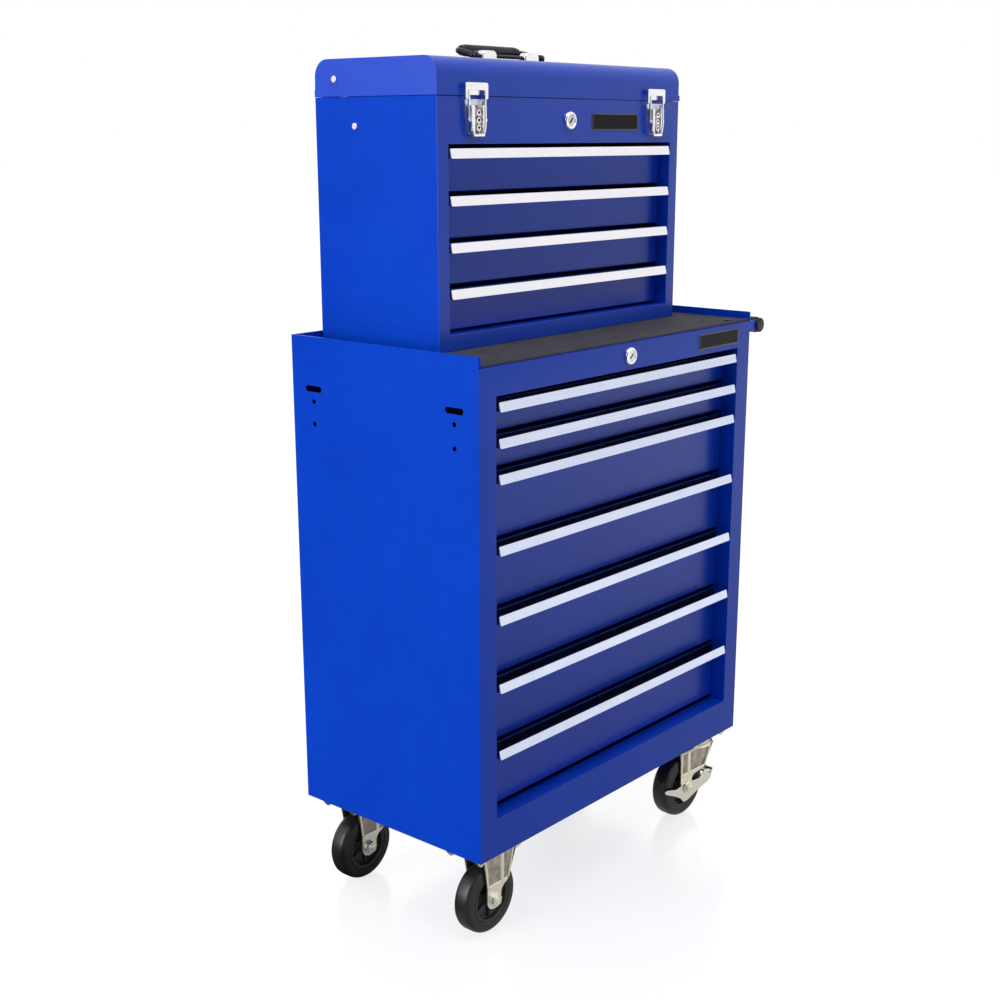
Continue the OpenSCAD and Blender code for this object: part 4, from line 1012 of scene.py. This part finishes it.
# %% Push handle
bar_x, bar_z = middle_of("handle_bar").xz
half = box_mm("handle_bar")[1].y - 3.5 - 4
bar_profile = [(0, -half), (11.2, -half), (12, -half + 0.8), (12, -half + 11.2), (11.2, -half + 12.4)]
for k in range(6):
    near = -half + 16 + 6 * k
    bar_profile += [(11.2, near), (10.6, near + 0.7), (10.6, near + 1.5), (11.2, near + 2.2)]
bar_profile += [(11.4, 0)]
bar_profile += [(r, -w) for r, w in reversed(bar_profile[:-1])]
bar = bmesh.new()
lathe(bar, "y", (bar_x, bar_z), bar_profile, 44)
cap = [(0, 4), (11, 4), (11, 5.6), (10.2, 6.8), (8.4, 7.5), (0, 7.5)]
for side in (-1, 1):
    lathe(bar, "y", (bar_x, bar_z), [(r, side * (half + w)) for r, w in cap], 44)
show_part("handle_bar", bar, [grip_black])
print("handle bar", round(2 * half), "mm between its brackets")

soft_part("handle_brackets", body_enamel, 0.5)
fasteners = bmesh.new()
for y in (-125, 125):
    for z in (704, 674):
        rod(fasteners, "x", (y, z), side_out - 8, side_out + 2.4, 3.0, 0.3, 20)
        dome(fasteners, "x", (y, z), side_out + 2, side_out + 4.5, 5.25, 24)

# %% [markdown]
# ## Wheels
# A wheel is a hard rubber tyre moulded onto a ribbed hub. The tyre and hub are turned as one outline: a
# rounded tread, a flat flank with one groove, a dished web and a long boss. Six ribs brace the web. The
# groove and dish would be lost on a plain disc, and they are what catches the light.

# %% Wheels
AXLE_Z = 50
WHEEL = [(5.08, -15.5), (9.5, -15.5), (10.5, -14.8), (11.0, -12), (12.5, -6.5), (15, -5.5), (26.0, -5.5),
         (28.5, -8), (29.2, -12.2), (30.2, -13.4), (33.0, -13.8), (33.8, -13.0), (34.6, -13.0), (35.4, -13.8),
         (43.0, -13.9), (45.6, -13.1), (47.8, -11.3), (49.3, -9.0), (49.9, -6.2), (50, 0)]
WHEEL += [(r, -w) for r, w in reversed(WHEEL[:-1])]


def wheel(reach):
    """A wheel round its axle, reach behind the origin."""
    bm = bmesh.new()
    lathe(bm, "y", (-reach, AXLE_Z), WHEEL, 72, closed=True)
    for k in range(6):
        angle = math.radians(60 * k + 30)
        rib = bmesh.new()
        slab(rib, (11.5, 28.0), (-9.5, 9.5), (-1.4, 1.4))
        soften(rib, 0.6, 2)
        turned = Matrix.Translation((-reach, 0, AXLE_Z)) @ Matrix.Rotation(angle, 4, "Y")
        bmesh.ops.transform(rib, matrix=turned, verts=rib.verts)
        add_shape(bm, rib)
    return bm


def stand_at(x, y, turn=0.0):
    """Where a caster stands: its kingpin, and how far round it is turned."""
    return Matrix.Translation((x, y, 0)) @ Matrix.Rotation(math.radians(turn), 4, "Z")


RIGID_X = middle_of("wheel_front_left").x
ENDS = [(end, middle_of(f"wheel_{end}_left").y) for end in ("front", "rear")]
SWIVEL_X, TRAIL, TURN, HUB_R = side_out - 56, 42.0, -3.0, 33
for hand, x, turn, reach in (("left", RIGID_X, 0.0, 0), ("right", SWIVEL_X, TURN, TRAIL)):
    for end, y in ENDS:
        tyre = wheel(reach)
        # The hub's faces get the lighter black, painted light.
        paint_faces(tyre, 1, lambda c: math.hypot(c.x + reach, c.z - AXLE_Z) < HUB_R)
        bmesh.ops.transform(tyre, matrix=stand_at(x, y, turn), verts=tyre.verts)
        show_part(f"wheel_{end}_{hand}", tyre, [tyre_black, hub_painted_light], smooth=35)
print("rigid wheels at x", round(RIGID_X), "swivel kingpins at x", round(SWIVEL_X))

# %% [markdown]
# ## Caster forks
# A fork is one thick stamping bent down on both sides of the wheel. Its legs are broad at the crown, step in above
# the axle and end in a round foot for the nut. Two panels are pressed in above the step, which leaves a rib
# between them. Each leg is a blank with rounded corners, whose outer face is cut in three before the two upper
# faces are inset and pushed in. The pressed metal is duller than the rib, and its colour is painted darker as the
# shade in the panels.

# %% Fork legs
FORK_IN, FORK_OUT = 16.0, 18.5
STEP_Z = AXLE_Z + 19  # the panels end here, where the leg steps in


def fork_leg(bm, outline, side, rib_x):
    """One leg with two pressed panels beside its rib, on the side given by -1 or 1."""
    leg = bmesh.new()
    bevel(leg, blank(leg, "y", outline, side * FORK_IN, side * FORK_OUT, 4.0).edges, 0.7, 3)
    face = max(leg.faces, key=lambda f: abs(f.calc_center_median().y) + f.calc_area() * 1e-5)
    skin = face.calc_center_median().y
    for point, normal in (((0, 0, STEP_Z), (0, 0, 1)), ((rib_x, 0, 0), (1, 0, 0))):
        outer = [f for f in leg.faces if abs(f.calc_center_median().y - skin) < 0.01 and
                 f.calc_center_median().z > AXLE_Z - 5]
        rims = list({g for f in outer for g in list(f.edges) + list(f.verts)})
        cut_through(leg, outer + rims, point, normal)
    panels = [f for f in leg.faces if abs(f.calc_center_median().y - skin) < 0.01 and
              min(v.co.z for v in f.verts) > STEP_Z - 0.1]
    # The pressed panels are painted darker, as the shade in them.
    for panel in panels:
        press_in(leg, panel, 2.6, 0.9, 1.1)
        panel.material_index = 1
    bmesh.ops.recalc_face_normals(leg, faces=leg.faces)
    add_shape(bm, leg)


def axle_end(bm, reach, side, nut_in):
    """Washer, nut and the axle's end on one side."""
    y = side * nut_in
    span = sorted((y, y + side * 1.4))
    rod(bm, "y", (-reach, AXLE_Z), span[0], span[1], 10.5, 0.3, 32)
    hexagon(bm, "y", (-reach, AXLE_Z), y + side * 1.3, y + side * 6, 15.5)
    span = sorted((0, side * (nut_in + 7)))
    rod(bm, "y", (-reach, AXLE_Z), span[0], span[1], 5, 0.8, 28)


def top_plate(bm):
    """Mounting plate, whose four bolts are made apart."""
    face = blank(bm, "z", rectangle((-46, 46), (-33, 33)), body_foot - 3, body_foot, 6)
    bevel(bm, face.edges, 0.4)


def plate_bolts(bm, x, y):
    """Four bolts of one caster, with a nut below and a head inside the cabinet."""
    for dx in (-37, 37):
        for dy in (-25.5, 25.5):
            hexagon(bm, "z", (x + dx, y + dy), body_foot - 3, body_foot - 8, 11)
            rod(bm, "z", (x + dx, y + dy), body_foot - 11, body_foot + 4, 3.3, 0.5, 20)
            hexagon(bm, "z", (x + dx, y + dy), body_foot + 2, body_foot + 6, 11)


def leg_outline(axle_x, crown, span, step):
    """Outline of a leg from its crown down to the foot round the axle."""
    flare = [(span[0], crown - 10), (axle_x - 14, 70)] if span[0] != axle_x - 14 else []
    foot = [(-14, 46), (-9.5, 38.6), (0, 36), (9.5, 38.6), (14, 46),
            (14, 58), (19, 65), (step - 4, 68), (step, 72)]
    return ([(span[0], crown)] + flare + [(axle_x + u, v) for u, v in foot] +
            [(span[1] - 2, crown - 10), (span[1], crown)])


RIGID_LEG = leg_outline(0, body_foot - 3, (-20, 44), 31)
mounts = bmesh.new()
for end, y in ENDS:
    rigid = bmesh.new()
    top_plate(rigid)
    for side in (-1, 1):
        fork_leg(rigid, RIGID_LEG, side, 17)
        axle_end(rigid, 0, side, FORK_OUT)
    blank(rigid, "z", rectangle((-20, 44), (-FORK_OUT, FORK_OUT)), body_foot - 5.5, body_foot - 3, 2)
    bmesh.ops.transform(rigid, matrix=stand_at(RIGID_X, y), verts=rigid.verts)
    add_shape(mounts, rigid)
    race = bmesh.new()
    top_plate(race)
    cup = [(0, -3), (27, -3), (27.6, -4.5), (27.2, -8), (25, -12.5), (23.2, -16.8), (0, -16.8)]
    lathe(race, "z", (0, 0), [(r, body_foot + w) for r, w in cup], 48)
    rod(race, "z", (0, 0), body_foot - 22.4, body_foot - 16.6, 7, 0.3)
    hexagon(race, "z", (0, 0), body_foot - 21.4, body_foot - 25.4, 19)
    bmesh.ops.transform(race, matrix=stand_at(SWIVEL_X, y), verts=race.verts)
    add_shape(mounts, race)
    for x in (RIGID_X, SWIVEL_X):
        plate_bolts(fasteners, x, y)
show_part("caster_mounts", mounts, [zinc, zinc_painted_shade])
show_part("cabinet_fasteners", fasteners, [zinc])
print("mounts of four casters")

# %% [markdown]
# ## Swivel forks and brake pedals
# The right hand casters turn on a ball race, seen as a low dome under the plate, and their legs sweep back
# to the axle. A brake pedal hugs each one: two cheeks that turn on the axle, the front one with a long tail
# and the rear one with a short tail, and a tread plate that joins them ahead of the wheel and curls up for the
# toe.

# %% Swivel forks
crown = body_foot - 18
SWIVEL_LEG = leg_outline(-TRAIL, crown, (-56, 23), 51)


def swivel_fork():
    bm = bmesh.new()
    for side in (-1, 1):
        fork_leg(bm, SWIVEL_LEG, side, -35)
        axle_end(bm, TRAIL, side, FORK_OUT + 3)
    blank(bm, "z", rectangle((-56, 23), (-FORK_OUT, FORK_OUT)), crown - 2.5, crown, 3)
    dish = [(7.3, -2.6), (26, -2.6), (27.4, -1.7), (27.8, -0.6), (27.2, 0.5), (24.5, 0.9), (7.3, 0.9)]
    lathe(bm, "z", (0, 0), [(r, crown + w) for r, w in dish], 48, closed=True)
    return bm


def brake_pedal():
    bm = bmesh.new()
    inner, outer = 19.0, 21.0
    arm = [(-56, 5), (-55, 11), (-28, 4), (-15, 6), (-9, 10.5), (0, 12), (9, 10), (15, 5.6), (32, 4), (44, 12),
           (57, 12), (63, 9), (65, 2), (62, -4), (54, -8), (22, -16), (2, -23), (-9, -23), (-16, -15), (-30, -7)]
    short = [(-26, -4), (-22, 3)] + arm[3:-1] + [(-22, -8)]
    for side, outline in ((-1, arm), (1, short)):
        cheek = bmesh.new()
        bevel(cheek, blank(cheek, "y", outline, side * inner, side * outer, 2.2, 3).edges, 0.5)
        bmesh.ops.recalc_face_normals(cheek, faces=cheek.faces)
        add_shape(bm, cheek)
    tread = [(54, 6), (58, 4.8), (62, 4.0), (65.6, 6.4), (68, 10),
             (66.5, 11.5), (64.0, 8.0), (61.5, 6.5), (58, 7.4), (54, 8.5)]
    plate = bmesh.new()
    blank(plate, "y", tread, -outer, outer)
    for k in range(3):
        slab(plate, (55.2 + 2.6 * k, 56.4 + 2.6 * k), (-17, 17), (5.6, 8.9 - 0.65 * k))
    soften(plate, 0.35, 2)
    add_shape(bm, plate)
    bmesh.ops.translate(bm, vec=(-TRAIL, 0, AXLE_Z), verts=bm.verts)
    return bm


for end, y in ENDS:
    for name, shape, finishes in (("swivel_fork_", swivel_fork(), [zinc, zinc_painted_shade]),
                                  ("brake_pedal_", brake_pedal(), [zinc])):
        bmesh.ops.transform(shape, matrix=stand_at(SWIVEL_X, y, TURN), verts=shape.verts)
        show_part(name + end, shape, finishes)
print("two swivel forks with pedals")

# %% [markdown]
# ## Floor
# The object stands on a plain white studio floor. Lighting a white floor until it reads as white would burn
# out the object, so what the camera sees of it is a weak emission plus a thin diffuse layer that still takes the
# shadow. Near the cabinet it also gives back a soft reflection, which dies away with distance. Polished fronts
# see a floor that gets brighter a few metres off, so the upper fronts are paler than the lower ones.

# %% Floor
floor_mesh = bpy.data.meshes.new("floor")
bm = bmesh.new()
bmesh.ops.create_grid(bm, x_segments=1, y_segments=1, size=40.0)
bm.to_mesh(floor_mesh)
bm.free()
floor = add_object("floor", floor_mesh)


ASIDE = (-0.764, 0.646, 0)  # to the camera's left along the floor


def floor_finish():
    cloth = Finish("studio_floor")
    camera_ray, glossy_ray, glass_ray = cloth.rays()
    plain = cloth.node("BsdfDiffuse", {}, {"Color": (0.62, 0.62, 0.63)})
    seen = cloth.node("BsdfDiffuse", {}, {"Color": (0.26, 0.26, 0.26)})
    away = cloth.node("VectorMath", {"operation": "LENGTH"}, {0: cloth.place}, "Value")
    glow_level = 0.93 + (away * 0.4 - 0.3).limited() * 0.08
    glow = cloth.node("Emission", {}, {"Color": (1, 1, 1), "Strength": glow_level})
    aside = cloth.node("VectorMath", {"operation": "DOT_PRODUCT"}, {0: cloth.place, 1: ASIDE}, "Value")
    rise = (away * 0.2 + 0.33).limited()
    fall = (2.35 - away * 0.3).limited()
    distant = rise * fall * 1.5 + (1.0 - fall)
    white_level = ((1.3 - aside * 4.0).limited() * 0.97 + 0.03) * distant
    white = cloth.node("Emission", {}, {"Color": (1, 1, 1), "Strength": white_level})
    lit = cloth.node("AddShader", {}, {0: seen, 1: glow})
    polish = cloth.node("BsdfGlossy", {}, {"Color": (1, 1, 1), "Roughness": 0.22})
    near = (1.0 - away / 1.1).limited() * 0.20
    shown = cloth.node("MixShader", {}, {0: near, 1: lit, 2: polish})
    mirrored = (glossy_ray + glass_ray).limited()
    other = cloth.node("MixShader", {}, {0: mirrored, 1: plain, 2: white})
    both = cloth.node("MixShader", {}, {0: camera_ray, 1: other, 2: shown})
    output = cloth.tree.nodes["Material Output"]
    cloth.tree.links.new(both.socket, output.inputs["Surface"])
    return cloth.material


floor_mesh.materials.append(floor_finish())
print("floor laid")

# %% [markdown]
# ## Light
# One wide lamp on the left lights the side panels fully and only grazes the fronts, so the blue changes from
# bright to deep at the corner. A lamp above lights the lid's round edge and the deck, and the world fills the
# shadows. The world is white where the camera or a polished surface sees it, and dimmer where it lights. One
# patch of it on the left in front is dark, which gives chrome the dark lines that a real studio draws on it.

# %% Lamps and world
def lamp(name, place, aim, width, height, power):
    """A soft rectangular lamp pointed at a spot."""
    light = bpy.data.lights.new(name, "AREA")
    light.shape = "RECTANGLE"
    light.size, light.size_y = width, height
    light.energy = power
    holder = add_object(name, light)
    holder.location = place
    holder.rotation_mode = "QUATERNION"
    holder.rotation_quaternion = (Vector(aim) - Vector(place)).to_track_quat("-Z", "Y")


lamp("side_lamp", (-3.6, 0.95, 1.5), (-0.03, 0.0, 0.62), 2.2, 2.2, 84)
lamp("top_lamp", (-0.6, -0.9, 3.4), (0.0, 0.0, 0.9), 1.6, 1.6, 33)

DARK_WAY = (-0.75, -0.62, 0.24)  # from the object to the dark patch
world = bpy.data.worlds.new("studio")
bpy.context.scene.world = world
world.use_nodes = True
world.node_tree.nodes.clear()
sky = Nodes(world.node_tree)
camera_ray, glossy_ray, glass_ray = sky.rays()
way = sky.node("TexCoord", out="Generated")
facing = sky.node("VectorMath", {"operation": "DOT_PRODUCT"}, {0: way, 1: DARK_WAY}, "Value")
shade = sky.node("MapRange", {}, {"Value": facing, "From Min": 0.72, "From Max": 0.93,
                                  "To Min": 1.0, "To Max": 0.25}, "Result")
dim = sky.node("Background", {}, {"Color": (0.96, 0.98, 1.0), "Strength": 0.30})
bright = sky.node("Background", {}, {"Color": (1, 1, 1), "Strength": camera_ray.larger(shade)})
looked_at = camera_ray.larger(glossy_ray).larger(glass_ray)
share = sky.node("MixShader", {}, {0: looked_at, 1: dim, 2: bright})
sky.tree.links.new(share.socket, sky.tree.nodes.new("ShaderNodeOutputWorld").inputs["Surface"])
bpy.context.scene.view_settings.view_transform = "Standard"
print("two lamps and a white world")
